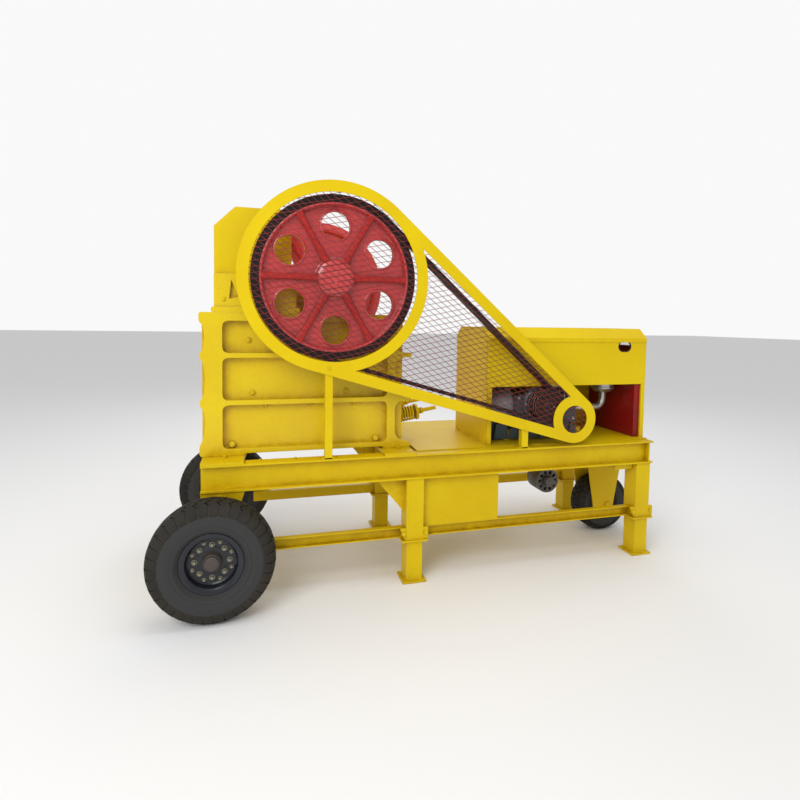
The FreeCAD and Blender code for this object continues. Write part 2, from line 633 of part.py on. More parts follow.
def make_rear_block():
    """The toggle beam across the back, with the seat that the tension springs push on."""
    inner_width = f"(frame_width - 2 * {WALL_INSIDE})"
    start = f"({CRUSHER_END} - rear_block_length)"
    beam = box(start, WALL_INSIDE, "rear_block_bottom", "rear_block_length", inner_width,
               "rear_block_height")
    seat = box(f"{CRUSHER_END} - spring_seat_thickness", WALL_INSIDE, "rod_height - seat_drop",
               "spring_seat_thickness", inner_width, "rear_block_bottom - rod_height + seat_drop")
    holes = [rod(f"{CRUSHER_END} - 80", f"{MIDDLE_Y} + {side} * rod_offset",
                 "rod_height - 80 * tan(rod_rise)", "rod_radius + rod_hole_clearance", "200", "X", "rod_rise")
             for side in (-1, 1)]
    return finished(without(joined(beam, seat), *holes), "rear_block")


def make_toggle():
    """The toggle plate between the swing jaw's foot and the toggle beam."""
    jaw_back = f"({JAW_FACE} + discharge_gap + jaw_plate + jaw_foot)"
    start_z, end_z = "toggle_height", "(rear_block_bottom + rear_block_height / 2)"
    body = new_body("0", "(frame_width - jaw_width) / 2", "0")
    sketch = new_sketch(body, "XZ_Plane")
    start = f"({jaw_back} + (toggle_height - jaw_bottom) * 0.72)"
    end = f"({CRUSHER_END} - rear_block_length)"
    draw_outline(sketch, [(start, start_z), (end, f"{end_z} - toggle_thickness / 2"),
                          (end, f"{end_z} + toggle_thickness / 2"),
                          (f"{start} + 20", f"{start_z} + toggle_thickness")])
    pad(body, sketch, "jaw_width")
    return finished(body, "toggle_plate")


def make_tension_gear():
    """Two rods that pull the swing jaw back, each with a spring and a cap."""
    rods, springs = [], []
    for side in (-1, 1):
        y = f"{MIDDLE_Y} + {side} * rod_offset"

        def along(distance):
            x = f"{CRUSHER_END} + ({distance}) * cos(rod_rise)"
            z = f"rod_height + ({distance}) * sin(rod_rise)"
            return x, z

        x, z = along("-rod_length - 100")
        bar = rod(x, y, z, "rod_radius", "2 * rod_length + 20", "X", "rod_rise")
        seat = "(spring_radius * sin(rod_rise) + spring_seat_gap)"
        x, z = along(f"{seat} + spring_length")
        cap = rod(x, y, z, "spring_radius + 2", "spring_cap", "X", "rod_rise")
        rods.append(joined(bar, cap))
        x, z = along(seat)
        coil = rod(x, y, z, "spring_radius", "spring_length", "X", "rod_rise")
        core = rod(x, y, z, "spring_radius - spring_wire", "spring_length", "X", "rod_rise")
        springs.append(without(coil, core))
    finished(group(*rods), "tension_rods")
    finished(group(*springs), "tension_springs")


# ---------------------------------------------------------------- the shaft, flywheels and belts

def make_bearings():
    """A round bearing housing on top of each side frame."""
    pieces = []
    near_y = f"({WALL_INSIDE} - bearing_width)"
    for y in (near_y, mirrored_y(near_y, "bearing_width")):
        round_part = rod("shaft_x", y, "shaft_height", "bearing_radius", "bearing_width", "Y")
        base = box("shaft_x - bearing_radius", y, "crusher_top", "2 * bearing_radius", "bearing_width",
                   "shaft_height - crusher_top")
        bore = rod("shaft_x", f"{y} - 5", "shaft_height", "shaft_radius + spindle_clearance",
                   "bearing_width + 10", "Y")
        pieces.append(without(joined(round_part, base), bore))
    return finished(group(*pieces), "bearing_housings")


def make_shaft():
    """The shaft that carries both flywheels."""
    end = "(wheel_face + 2)"
    thick = f"({WALL_INSIDE} - bearing_width - bearing_gap)"
    middle = rod("shaft_x", thick, "shaft_height", "shaft_radius", f"frame_width - 2 * {thick}", "Y")
    ends = rod("shaft_x", end, "shaft_height", "shaft_seat_radius", f"frame_width - 2 * {end}", "Y")
    return finished(joined(middle, ends), "eccentric_shaft")


def rim_outline(outer, inner_web, hub, bore, hub_end):
    """Return the turned outline of a grooved wheel, along Y from its outer face."""
    corners = [("0", f"{outer} - flywheel_rim"), ("0", outer)]
    for groove in (-1, 0, 1):
        middle = f"wheel_width / 2 + ({groove}) * belt_pitch"
        edge = "(belt_width / 2 + belt_clearance)"
        corners += [(f"{middle} - {edge}", outer), (f"{middle} - {edge}", f"{outer} - groove_depth"),
                    (f"{middle} + {edge}", f"{outer} - groove_depth"), (f"{middle} + {edge}", outer)]
    web_near, web_far = "(wheel_width - flywheel_web) / 2", "(wheel_width + flywheel_web) / 2"
    corners += [("wheel_width", outer), ("wheel_width", f"{outer} - flywheel_rim"),
                (web_far, inner_web), (web_far, hub), (hub_end, hub), (hub_end, bore),
                ("2", bore), ("2", hub), (web_near, hub), (web_near, inner_web)]
    return corners


def make_flywheel(label, far):
    """A flywheel with six holes and six ribs; the belt-side one is grooved."""
    wheel = new_body("shaft_x", "frame_width - wheel_face" if far else "wheel_face", "shaft_height")
    inner = "flywheel_radius - flywheel_rim"
    if far:
        web_near, web_far = "-(wheel_width - flywheel_web) / 2", "-(wheel_width + flywheel_web) / 2"
        revolve(wheel, [
            ("0", inner), ("0", "flywheel_radius"), ("-wheel_width", "flywheel_radius"),
            ("-wheel_width", inner), (web_far, inner), (web_far, "flywheel_hub_radius"),
            ("-wheel_width - hub_reach", "flywheel_hub_radius"),
            ("-wheel_width - hub_reach", "shaft_seat_radius"), ("-2", "shaft_seat_radius"),
            ("-2", "flywheel_hub_radius"), (web_near, "flywheel_hub_radius"), (web_near, inner)])
    else:
        revolve(wheel, rim_outline("flywheel_radius", inner, "flywheel_hub_radius",
                                   "shaft_seat_radius", "wheel_width + hub_reach"))
    rib_start = "-wheel_width + 8" if far else "8"
    sketch = new_sketch(wheel, "XZ_Plane", rib_start)
    draw_outline(sketch, [
        ("flywheel_hub_radius - 10", "-flywheel_rib / 2"), (f"{inner} + 4", "-flywheel_rib / 2"),
        (f"{inner} + 4", "flywheel_rib / 2"), ("flywheel_hub_radius - 10", "flywheel_rib / 2")])
    around(wheel, pad(wheel, sketch, "wheel_width - 16"), 6)
    sketch = new_sketch(wheel, "XZ_Plane", "-wheel_width" if far else "0")
    draw_circle(sketch, "flywheel_hole_circle * cos(30)", "flywheel_hole_circle * sin(30)",
                "flywheel_hole_radius")
    around(wheel, pocket(wheel, sketch, "wheel_width"), 6)
    return finished(wheel, label)


def make_engine_pulley():
    """The small grooved pulley on the engine's shaft."""
    pulley = new_body("pulley_x", "wheel_face", "pulley_height")
    corners = [("4", "0"), ("4", "pulley_shaft_radius + 12"), ("0", "pulley_shaft_radius + 12"),
               ("0", "pulley_radius")]
    for groove in (-1, 0, 1):
        middle = f"wheel_width / 2 + ({groove}) * belt_pitch"
        edge = "(belt_width / 2 + belt_clearance)"
        low = "pulley_radius - groove_depth"
        corners += [(f"{middle} - {edge}", "pulley_radius"), (f"{middle} - {edge}", low),
                    (f"{middle} + {edge}", low), (f"{middle} + {edge}", "pulley_radius")]
    corners += [("wheel_width", "pulley_radius"), ("wheel_width", "pulley_shaft_radius"),
                ("wheel_width + pulley_shaft_length", "pulley_shaft_radius"),
                ("wheel_width + pulley_shaft_length", "0")]
    revolve(pulley, corners)
    return finished(pulley, "engine_pulley")


def make_belts():
    """Three belts around the flywheel and the engine pulley."""
    belts = []
    for groove in (-1, 0, 1):
        belt = new_body("shaft_x", f"{BELT_MIDDLE} + ({groove}) * belt_pitch - belt_width / 2",
                        "shaft_height")
        sketch = new_sketch(belt, "XZ_Plane")
        seat = "- groove_depth + belt_clearance"
        for rise in ("+ belt_height", ""):
            draw_loop(sketch, ("0", "0", f"flywheel_radius {seat} {rise}"),
                      ("pulley_x - shaft_x", "pulley_height - shaft_height",
                       f"pulley_radius {seat} {rise}"))
        pad(belt, sketch, "belt_width")
        belts.append(belt)
    return finished(group(*belts), "drive_belts")


# ---------------------------------------------------------------- the belt guard

EYE = ("guard_eye_x - shaft_x", "guard_eye_height - shaft_height")


def make_guard_frame():
    """The flat frame around the flywheel, the belts and the engine pulley."""
    frame = new_body("shaft_x", "0", "shaft_height")
    sketch = new_sketch(frame, "XZ_Plane")
    for band in ("+ guard_band", ""):
        draw_loop(sketch, ("0", "0", f"guard_ring_radius {band}"),
                  (*EYE, f"guard_eye_radius {band}"))
    pad(frame, sketch, "guard_thickness")
    for across, up, radius in (("0", "0", "guard_ring_radius"), (*EYE, "guard_eye_radius")):
        sketch = new_sketch(frame, "XZ_Plane")
        for band in ("+ guard_band", ""):
            draw_circle(sketch, across, up, f"{radius} {band}")
        pad(frame, sketch, "guard_thickness")
    return finished(frame, "guard_frame")


def lattice(region):
    """Return crossed flat bars that fill a flat region in the guard's plane, without loose tips."""
    box_of_region = region.BoundBox
    reach = box_of_region.DiagonalLength
    centre = box_of_region.Center
    pitch, width = number("mesh_pitch"), number("mesh_bar")
    count = int(reach / pitch / 2) + 1
    bars = []
    for slope in (number("mesh_slope"), -number("mesh_slope")):
        for step in range(-count, count + 1):
            bar = Part.makeBox(2 * reach, number("mesh_thickness"), width,
                               FreeCAD.Vector(-reach, 0, step * pitch - width / 2))
            bar.rotate(FreeCAD.Vector(), FreeCAD.Vector(0, 1, 0), slope)
            bar.translate(FreeCAD.Vector(centre.x, box_of_region.YMin, centre.z))
            bars.append(bar)
    sheet = bars[0].multiFuse(bars[1:]).common(region).removeSplitter()
    return max(sheet.Solids, key=lambda solid: solid.Volume)


def make_guard_mesh():
    """The guard's open mesh: a round panel, and one behind the belt window and the eye."""
    back = number(f"guard_thickness - {MIDDLE_Y}")
    thickness, lap = number("mesh_thickness"), number("mesh_lap")
    ring, band = number("guard_ring_radius"), number("guard_band")
    shaft = FreeCAD.Vector(number(f"shaft_x - {MIDDLE_X}"), back, number("shaft_height"))
    eye = FreeCAD.Vector(number(f"guard_eye_x - {MIDDLE_X}"), back, number("guard_eye_height"))
    eye_radius = number("guard_eye_radius")
    along_y = FreeCAD.Vector(0, 1, 0)
    wheel_region = Part.makeCylinder(ring + lap, thickness, shaft, along_y)
    run = eye - shaft
    swing = math.acos((ring - eye_radius) / run.Length)
    bearing = math.atan2(run.z, run.x)
    corners = []
    for centre, radius, turn in ((shaft, ring + lap, swing), (eye, eye_radius + lap, swing),
                                 (eye, eye_radius + lap, -swing), (shaft, ring + lap, -swing)):
        angle = bearing + turn
        corners.append(centre + FreeCAD.Vector(radius * math.cos(angle), 0, radius * math.sin(angle)))
    flat = Part.Face(Part.makePolygon(corners + corners[:1]))
    window = flat.extrude(FreeCAD.Vector(0, thickness, 0))
    window = window.fuse(Part.makeCylinder(eye_radius + lap, thickness, eye, along_y))
    window = window.cut(Part.makeCylinder(ring + band - lap, thickness, shaft, along_y))
    for label, region in (("wheel_mesh", wheel_region), ("belt_mesh", window)):
        feature = document.addObject("Part::Feature", "Mesh")
        feature.Shape = lattice(region)
        finished(feature, label)


def make_guard_posts():
    """The angle post that carries the guard, and the short one below its lower band."""
    posts = []
    for x, top in (("post_x", "post_top"), ("short_post_x", "short_post_top")):
        outer = box(f"{x} - post_side / 2", "guard_thickness", "deck_height", "post_side", "post_side",
                    f"{top} - deck_height")
        inner = box(f"{x} - post_side / 2 + post_wall", "guard_thickness + post_wall", "deck_height",
                    "post_side", "post_side", f"{top} - deck_height")
        posts.append(without(outer, inner))
    return finished(group(*posts), "guard_posts")


# ---------------------------------------------------------------- the engine and its canopy

DECK_TOP = "(deck_height + deck_thickness)"
FAR_SIDE = "(canopy_side + canopy_depth)"


def make_skids():
    """The two rails that carry the engine."""
    pieces = [box("engine_start - 60", y, DECK_TOP, "engine_length + 120", "skid_width", "skid_height")
              for y in ("engine_side + skid_inset", "engine_side + engine_width - skid_inset - skid_width")]
    return finished(group(*pieces), "engine_skids")


def make_engine():
    """The engine block with the bore for the pulley's shaft, its head and its end cover."""
    block = box("engine_start", "engine_side", f"{DECK_TOP} + skid_height", "engine_length",
                "engine_width", "engine_height")
    case = rod("pulley_x", "engine_side - crankcase_reach", "pulley_height", "crankcase_radius",
               "engine_width + crankcase_reach + crankcase_overlap", "Y")
    bore = rod("pulley_x", "engine_side - crankcase_reach - 20", "pulley_height",
               "pulley_shaft_radius + spindle_clearance", "pulley_shaft_length", "Y")
    finished(without(joined(block, case), bore), "engine_block")
    finished(box("pulley_x + 120", "engine_side + 40",
                 f"{DECK_TOP} + skid_height + engine_height", "engine_length * 0.35",
                 "engine_width - 80", "head_height"), "cylinder_head")
    finished(rod("engine_start - clutch_length", "engine_side + engine_width / 2",
                 "pulley_height - clutch_drop", "clutch_radius", "clutch_length", "X"), "clutch_housing")


def make_radiator():
    """The radiator at the engine end, inside the canopy."""
    near = "canopy_side + 3 * canopy_plate + 2"
    return finished(box("canopy_end - radiator_gap - radiator_thickness", near, DECK_TOP,
                        "radiator_thickness", "canopy_depth - 4 * canopy_plate - 4",
                        f"canopy_edge - radiator_headroom - {DECK_TOP}"), "radiator")


def make_air_cleaner():
    """The air cleaner bowl with its bent pipe to the engine."""
    bowl = rod("air_cleaner_x", "air_cleaner_y", "canopy_window_top - air_cleaner_height",
               "air_cleaner_radius", "air_cleaner_height")
    down = rod("air_cleaner_x", "air_cleaner_y", "pipe_height - pipe_radius", "pipe_radius",
               "canopy_window_top - air_cleaner_height - pipe_height + pipe_radius")
    engine_end = "(engine_start + engine_length)"
    across = rod(engine_end, "air_cleaner_y", "pipe_height", "pipe_radius",
                 f"air_cleaner_x - {engine_end}", "X")
    return finished(joined(bowl, down, across), "air_cleaner")


def make_canopy():
    """The sheet canopy: roof, side plates, end plate and posts."""
    length = "canopy_end - canopy_start"
    roof = new_body("canopy_start", "canopy_side", "0")
    sketch = new_sketch(roof, "YZ_Plane")
    lip = "canopy_edge - roof_lip"
    draw_outline(sketch, [
        ("-3", lip), ("-3", "canopy_edge"), ("canopy_slope", "canopy_top"),
        ("canopy_depth - canopy_slope", "canopy_top"), ("canopy_depth + 3", "canopy_edge"),
        ("canopy_depth + 3", lip), ("canopy_depth", lip), ("canopy_depth", "canopy_edge - 2"),
        ("canopy_depth - canopy_slope - 1", "canopy_top - canopy_plate"),
        ("canopy_slope + 1", "canopy_top - canopy_plate"), ("0", "canopy_edge - 2"), ("0", lip)])
    pad(roof, sketch, length)
    finished(roof, "canopy_roof")
    panel_height = "canopy_edge - 2 - canopy_window_top"
    near = new_body("canopy_start", "canopy_side", "canopy_window_top")
    sketch = new_sketch(near, "XZ_Plane")
    draw_outline(sketch, [("0", "0"), (length, "0"), (length, panel_height), ("0", panel_height)])
    pad(near, sketch, "canopy_plate")
    sketch = new_sketch(near, "XZ_Plane")
    hole_z = "hand_hole_height - canopy_window_top"
    hole_x = "hand_hole_x - canopy_start"
    draw_loop(sketch, (f"{hole_x} - hand_hole_length / 2", hole_z, "hand_hole_radius"),
              (f"{hole_x} + hand_hole_length / 2", hole_z, "hand_hole_radius"))
    pocket(near, sketch, "canopy_plate")
    finished(near, "canopy_near_panel")
    finished(box("canopy_start", f"{FAR_SIDE} - canopy_plate", DECK_TOP, length, "canopy_plate",
                 f"canopy_edge - 2 - {DECK_TOP}"), "canopy_far_panel")
    end = new_body("canopy_start", "canopy_side", "0")
    sketch = new_sketch(end, "YZ_Plane")
    near_edge, far_edge = "canopy_plate", "canopy_depth - canopy_plate"
    draw_outline(sketch, [
        (near_edge, DECK_TOP), (far_edge, DECK_TOP), (far_edge, "canopy_edge - 6"),
        ("canopy_depth - canopy_slope - 2", "canopy_top - canopy_plate - 2"),
        ("canopy_slope + 2", "canopy_top - canopy_plate - 2"), (near_edge, "canopy_edge - 6")])
    pad(end, sketch, "canopy_plate")
    finished(end, "canopy_end_panel")
    post_height = f"canopy_window_top - {DECK_TOP}"
    posts = [box(x, "canopy_side", DECK_TOP, "corner_post", "canopy_plate * 3", post_height)
             for x in ("canopy_start + canopy_plate", "canopy_end - corner_post")]
    finished(group(*posts), "canopy_posts")


def make_alternator():
    """The alternator under the deck, on a hanger with a slotted arm."""
    body = rod("alternator_x", "alternator_y", "alternator_height", "alternator_radius",
               "alternator_length", "Y")
    nose = rod("alternator_x", "alternator_y - 34", "alternator_height", "alternator_radius * 0.42",
               "34", "Y")
    finished(joined(body, nose), "alternator")
    drop = "deck_height - alternator_height"
    plate = box("alternator_x - 30", "alternator_y + alternator_length", "alternator_height - 30",
                "60", "hanger_plate", f"{drop} + 30")
    arm = box("alternator_x + alternator_radius + 6", "alternator_y + alternator_length",
              "alternator_height", "26", "hanger_plate", drop)
    finished(group(plate, arm), "alternator_hanger")


make_beam("beam_near", "0")
make_beam("beam_far", mirrored_y("0", "beam_flange"))
make_cross_beams()
make_deck()
make_legs("mid_legs", "mid_leg_x", True)
make_legs("end_legs", "end_leg_x", False)
make_rails()
make_skirts()
make_axle_hangers()
make_front_axle()
NEAR_WHEEL_Y = "-(tyre_gap + tyre_width / 2)"
FAR_WHEEL_Y = "(frame_width + tyre_gap + tyre_width / 2)"
for wheel_name, wheel_y, outward in (("near_wheel", NEAR_WHEEL_Y, "-1"), ("far_wheel", FAR_WHEEL_Y, "1")):
    make_wheel(wheel_name, "front_axle_x", wheel_y, "tyre_radius", "tyre_radius", "tyre_width",
               "rim_radius", "rim_flange_radius", "rim_width", "hub_radius", "spindle_radius", outward)
make_wheel("rear_wheel", "rear_axle_x", MIDDLE_Y, "rear_tyre_radius", "rear_tyre_radius",
           "rear_tyre_width", "rear_rim_radius", "rear_rim_flange", "rear_rim_width",
           "rear_spindle_radius + 16", "rear_spindle_radius", "-1")
make_rear_fork()
make_soles()
make_side_frame("side_frame_near", False)
make_side_frame("side_frame_far", True)
make_front_wall()
make_hopper()
make_fixed_jaw()
make_swing_jaw()
make_cheek_liners()
make_rear_block()
make_toggle()
make_tension_gear()
make_bearings()
make_shaft()
make_flywheel("drive_flywheel", False)
make_flywheel("balance_flywheel", True)
make_engine_pulley()
make_belts()
make_guard_frame()
make_guard_mesh()
make_guard_posts()
make_skids()
make_engine()
make_radiator()
make_air_cleaner()
make_canopy()
make_alternator()

document.recompute()
for item in document.Objects:
    if "Invalid" in item.State or "Error" in item.State:
        raise RuntimeError(f"{item.Label} could not be built: {item.State}")
os.makedirs("parts", exist_ok=True)
for item in sub_parts:
    if item.Shape.isNull() or not item.Shape.isValid():
        raise RuntimeError(f"{item.Label} has no valid shape")
for item in sub_parts:
    item.Shape.exportStep(f"parts/{item.Label}.step")
print(len(sub_parts), "sub-parts written")
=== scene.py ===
"""The looks of a portable jaw crusher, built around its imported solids.

Sizes are in millimetres from the frame's corner: x runs from the crusher end to the engine end, y from
the outer edge of the belt-side beam to the far side, and z up from the ground. Each piece is brought
into metres in the model's own frame when it is finished.
"""
import logging
import math
from collections.abc import Callable, Sequence
from dataclasses import dataclass
from enum import Enum

import bmesh
import bpy
from mathutils import Matrix, Vector


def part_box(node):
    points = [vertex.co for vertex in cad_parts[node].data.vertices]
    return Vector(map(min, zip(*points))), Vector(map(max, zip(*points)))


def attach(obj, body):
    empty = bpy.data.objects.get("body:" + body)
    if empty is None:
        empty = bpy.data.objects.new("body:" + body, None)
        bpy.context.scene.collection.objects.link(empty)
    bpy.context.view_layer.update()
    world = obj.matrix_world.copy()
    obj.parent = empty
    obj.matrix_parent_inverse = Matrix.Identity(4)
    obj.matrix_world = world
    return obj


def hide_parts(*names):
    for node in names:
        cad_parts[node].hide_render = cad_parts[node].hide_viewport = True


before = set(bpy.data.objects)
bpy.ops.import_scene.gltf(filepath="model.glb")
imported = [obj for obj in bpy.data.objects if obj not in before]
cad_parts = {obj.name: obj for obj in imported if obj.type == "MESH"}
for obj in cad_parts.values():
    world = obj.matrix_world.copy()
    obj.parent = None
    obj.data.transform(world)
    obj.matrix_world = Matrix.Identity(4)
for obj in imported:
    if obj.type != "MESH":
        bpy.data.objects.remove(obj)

LOG = logging.getLogger("jaw_crusher")
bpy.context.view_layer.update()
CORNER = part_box("beam_near")[0]
TO_MODEL = Matrix.Translation((CORNER[0], CORNER[1], 0.0)) @ Matrix.Scale(0.001, 4)
MIDDLE_Y = 470.0
CRUSHER_SHAFT = (675.0, 1690.0)
PULLEY_SHAFT = (1960.0, 968.0)
CAST_BOSSES = ((231, 1355), (251, 1071), (760, 1071), (560, 1355))

Point = Sequence[float]
Colour = tuple[float, float, float]


class Body(Enum):
    """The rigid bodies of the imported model."""

    MACHINE = "machine"
    CRANK = "crank"
    ENGINE_DRIVE = "engine_drive"
    NEAR_WHEEL = "near_wheel"
    FAR_WHEEL = "far_wheel"
    REAR_WHEEL = "rear_wheel"


class Slot(Enum):
    """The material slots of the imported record."""

    YELLOW = "yellow_paint"
    RED = "red_enamel"
    MESH = "mesh_red"
    TYRE = "tyre_rubber"
    RIM = "rim_grey"
    JAW = "manganese_steel"
    BELT = "belt_rubber"
    SHAFT = "shaft_steel"
    PULLEY = "pulley_iron"
    ENGINE = "engine_grey"
    RADIATOR = "radiator_red"
    ALUMINIUM = "bare_aluminium"


class Axis(Enum):
    """The direction that a turned or extruded shape runs along."""

    X = 0
    Y = 1
    Z = 2


@dataclass(frozen=True)
class Finish:
    """One surface finish, made as a procedural material."""

    name: str
    slot: Slot
    colour: Colour
    shade: Colour
    roughness: float
    roughness_spread: float = 0.12
    metallic: float = 0.0
    grain: float = 160.0
    bump: float = 0.15
    bump_depth: float = 0.0006
    coat: float = 0.0
    edge: Colour = (1.0, 1.0, 1.0)
    edge_amount: float = 0.0
    # grime_and_shade: the colour ambient occlusion mixes into corners and creases, partly dirt and partly
    # painted shade.
    grime_and_shade: Colour = (0.05, 0.04, 0.03)
    grime_and_shade_amount: float = 0.35
    rounding: float = 0.0025
    specular: float = 0.5
    corner_reach: float = 0.06

    def material(self) -> bpy.types.Material:
        """Return this finish's material, making it the first time.

        Returns:
            The material with its nodes wired up.
        """
        ready = bpy.data.materials.get(self.name)
        return ready if ready else FinishNodes(self).build()


class FinishNodes:
    """Wires the nodes of one finish: mottling, grime and painted shade in corners, worn edges with painted
    edge highlights, and a fine surface.
    """

    def __init__(self, finish: Finish) -> None:
        """Start an empty node tree for a finish.

        Args:
            finish: The finish to build.
        """
        self.finish = finish
        self.made = bpy.data.materials.new(finish.name)
        self.made.use_nodes = True
        self.tree = self.made.node_tree
        self.shader = self.tree.nodes["Principled BSDF"]
        self.place = self.node("ShaderNodeTexCoord").outputs["Object"]

    def node(self, kind: str, **settings: object) -> bpy.types.Node:
        """Add a node and set its properties.

        Args:
            kind: The node's Blender type.
            settings: Properties to set on it.

        Returns:
            The new node.
        """
        made = self.tree.nodes.new(kind)
        for name, value in settings.items():
            setattr(made, name, value)
        return made

    def feed(self, socket: bpy.types.NodeSocket, value: object) -> None:
        """Link or set one input.

        Args:
            socket: The input.
            value: Another node's output, a number or a colour.
        """
        if isinstance(value, bpy.types.NodeSocket):
            self.tree.links.new(value, socket)
        elif isinstance(value, tuple):
            socket.default_value = (*value, 1.0)
        else:
            socket.default_value = value

    def noise(self, scale: float, detail: float = 3.0, rough: float = 0.55) -> bpy.types.NodeSocket:
        """Return a noise value over the surface.

        Args:
            scale: Features per metre.
            detail: Octaves of finer noise.
            rough: How strong the finer noise is.

        Returns:
            The noise value.
        """
        made = self.node("ShaderNodeTexNoise")
        self.feed(made.inputs["Vector"], self.place)
        self.feed(made.inputs["Scale"], scale)
        self.feed(made.inputs["Detail"], detail)
        self.feed(made.inputs["Roughness"], rough)
        return made.outputs[0]

    def spread(self, value: object, low: float, high: float, to_low: float,
               to_high: float) -> bpy.types.NodeSocket:
        """Map a value from one range to another, held at both ends.

        Args:
            value: The value to map.
            low: Start of its own range.
            high: End of its own range.
            to_low: Start of the new range.
            to_high: End of the new range.

        Returns:
            The mapped value.
        """
        made = self.node("ShaderNodeMapRange")
        for name, number in (("From Min", low), ("From Max", high), ("To Min", to_low), ("To Max", to_high)):
            self.feed(made.inputs[name], number)
        self.feed(made.inputs["Value"], value)
        return made.outputs[0]

    def times(self, first: object, second: object) -> bpy.types.NodeSocket:
        """Multiply two values."""
        made = self.node("ShaderNodeMath", operation="MULTIPLY")
        self.feed(made.inputs[0], first)
        self.feed(made.inputs[1], second)
        return made.outputs[0]

    def blend(self, amount: object, first: object, second: object) -> bpy.types.NodeSocket:
        """Mix two colours by an amount."""
        made = self.node("ShaderNodeMix", data_type="RGBA")
        self.feed(made.inputs[0], amount)
        self.feed(made.inputs[6], first)
        self.feed(made.inputs[7], second)
        return made.outputs[2]

    def build(self) -> bpy.types.Material:
        """Wire everything up.

        Returns:
            The finished material.
        """
        look = self.finish
        broad, fine = self.noise(2.4, 4.0), self.noise(look.grain, 4.0)
        colour = self.blend(self.spread(broad, 0.35, 0.7, 0.0, 1.0), look.colour, look.shade)
        darker = tuple(channel * 0.86 for channel in look.shade)
        colour = self.blend(self.times(self.spread(fine, 0.5, 0.75, 0.0, 1.0), 0.3), colour, darker)
        # Painted shade: ambient occlusion darkens corners, creases and recesses toward the grime_and_shade
        # colour, broken into patches by noise like dirt.
        corner = self.node("ShaderNodeAmbientOcclusion", samples=4)
        self.feed(corner.inputs["Distance"], look.corner_reach)
        shut_in = self.spread(corner.outputs["AO"], 0.25, 0.85, 1.0, 0.0)
        patch = self.times(shut_in, self.spread(self.noise(22.0, 5.0), 0.3, 0.65, 0.2, 1.0))
        colour = self.blend(self.times(patch, look.grime_and_shade_amount), colour, look.grime_and_shade)
        rounded = self.node("ShaderNodeBevel", samples=4)
        self.feed(rounded.inputs["Radius"], look.rounding)
        # Worn edges and painted edge highlight: a lighter edge colour is mixed in along the rounded edges,
        # the same on every side.
        if look.edge_amount:
            facing = self.node("ShaderNodeVectorMath", operation="DOT_PRODUCT")
            self.feed(facing.inputs[0], rounded.outputs[0])
            self.feed(facing.inputs[1], self.node("ShaderNodeNewGeometry").outputs["Normal"])
            worn_and_highlit = self.spread(facing.outputs["Value"], 0.99, 0.86, 0.0, 1.0)
            worn_and_highlit = self.times(worn_and_highlit, self.spread(self.noise(55.0, 5.0), 0.42, 0.62, 0.0, look.edge_amount))
            colour = self.blend(worn_and_highlit, colour, look.edge)
        self.feed(self.shader.inputs["Base Color"], colour)
        self.feed(self.shader.inputs["Roughness"], self.spread(
            self.noise(14.0, 4.0), 0.3, 0.7, look.roughness, look.roughness + look.roughness_spread))
        self.feed(self.shader.inputs["Metallic"], look.metallic)
        self.feed(self.shader.inputs["Specular IOR Level"], look.specular)
        self.feed(self.shader.inputs["Coat Weight"], look.coat)
        self.feed(self.shader.inputs["Coat Roughness"], 0.12)
        relief = self.node("ShaderNodeBump")
        self.feed(relief.inputs["Strength"], look.bump)
        self.feed(relief.inputs["Distance"], look.bump_depth)
        self.feed(relief.inputs["Height"], fine)
        self.feed(relief.inputs["Normal"], rounded.outputs[0])
        self.feed(self.shader.inputs["Normal"], relief.outputs[0])
        return self.made


# The corner colours below paint shade: orange-brown under the castings' ribs and in their pockets, near-black
# in the flywheel's crevices and between tread blocks.
SHEET_PAINT = Finish("sheet_paint", Slot.YELLOW, (0.82, 0.60, 0.002), (0.75, 0.52, 0.0015), 0.3, bump=0.05,
                     edge=(0.92, 0.78, 0.06), edge_amount=0.25, grime_and_shade=(0.34, 0.17, 0.003), grime_and_shade_amount=0.8,
                     specular=0.18, corner_reach=0.11)
CAST_PAINT = Finish("cast_paint", Slot.YELLOW, (0.84, 0.62, 0.002), (0.76, 0.53, 0.0015), 0.24, grain=70.0,
                    bump=0.4, bump_depth=0.0012, coat=0.15, edge=(0.95, 0.82, 0.08), edge_amount=0.3,
                    grime_and_shade=(0.36, 0.17, 0.003), grime_and_shade_amount=0.9, rounding=0.005, specular=0.3,
                    corner_reach=0.12)
FRAME_PAINT = Finish("frame_paint", Slot.YELLOW, (0.78, 0.56, 0.002), (0.69, 0.46, 0.0015), 0.34, bump=0.12,
                     edge=(0.88, 0.7, 0.05), edge_amount=0.3, grime_and_shade=(0.30, 0.14, 0.003), grime_and_shade_amount=0.85,
                     specular=0.18, corner_reach=0.12)
WHEEL_ENAMEL = Finish("wheel_enamel", Slot.RED, (0.70, 0.05, 0.05), (0.56, 0.03, 0.032), 0.16, grain=44.0,
                      bump=0.8, bump_depth=0.003, coat=1.0, edge=(0.75, 0.07, 0.06), edge_amount=0.35,
                      grime_and_shade=(0.10, 0.003, 0.003), grime_and_shade_amount=0.9, rounding=0.004, corner_reach=0.05)
RIB_ENAMEL = Finish("rib_enamel", Slot.RED, (0.60, 0.022, 0.014), (0.46, 0.014, 0.012), 0.25, grain=60.0,
                    bump=0.5, bump_depth=0.002, coat=0.3, edge=(0.8, 0.10, 0.07), edge_amount=0.5,
                    grime_and_shade=(0.12, 0.003, 0.003), grime_and_shade_amount=0.7, rounding=0.006, specular=0.3)
GROOVE_BLACK = Finish("groove_black", Slot.RED, (0.012, 0.011, 0.010), (0.006, 0.005, 0.005), 0.5, bump=0.4,
                      edge=(0.12, 0.11, 0.10), edge_amount=0.5, specular=0.2)
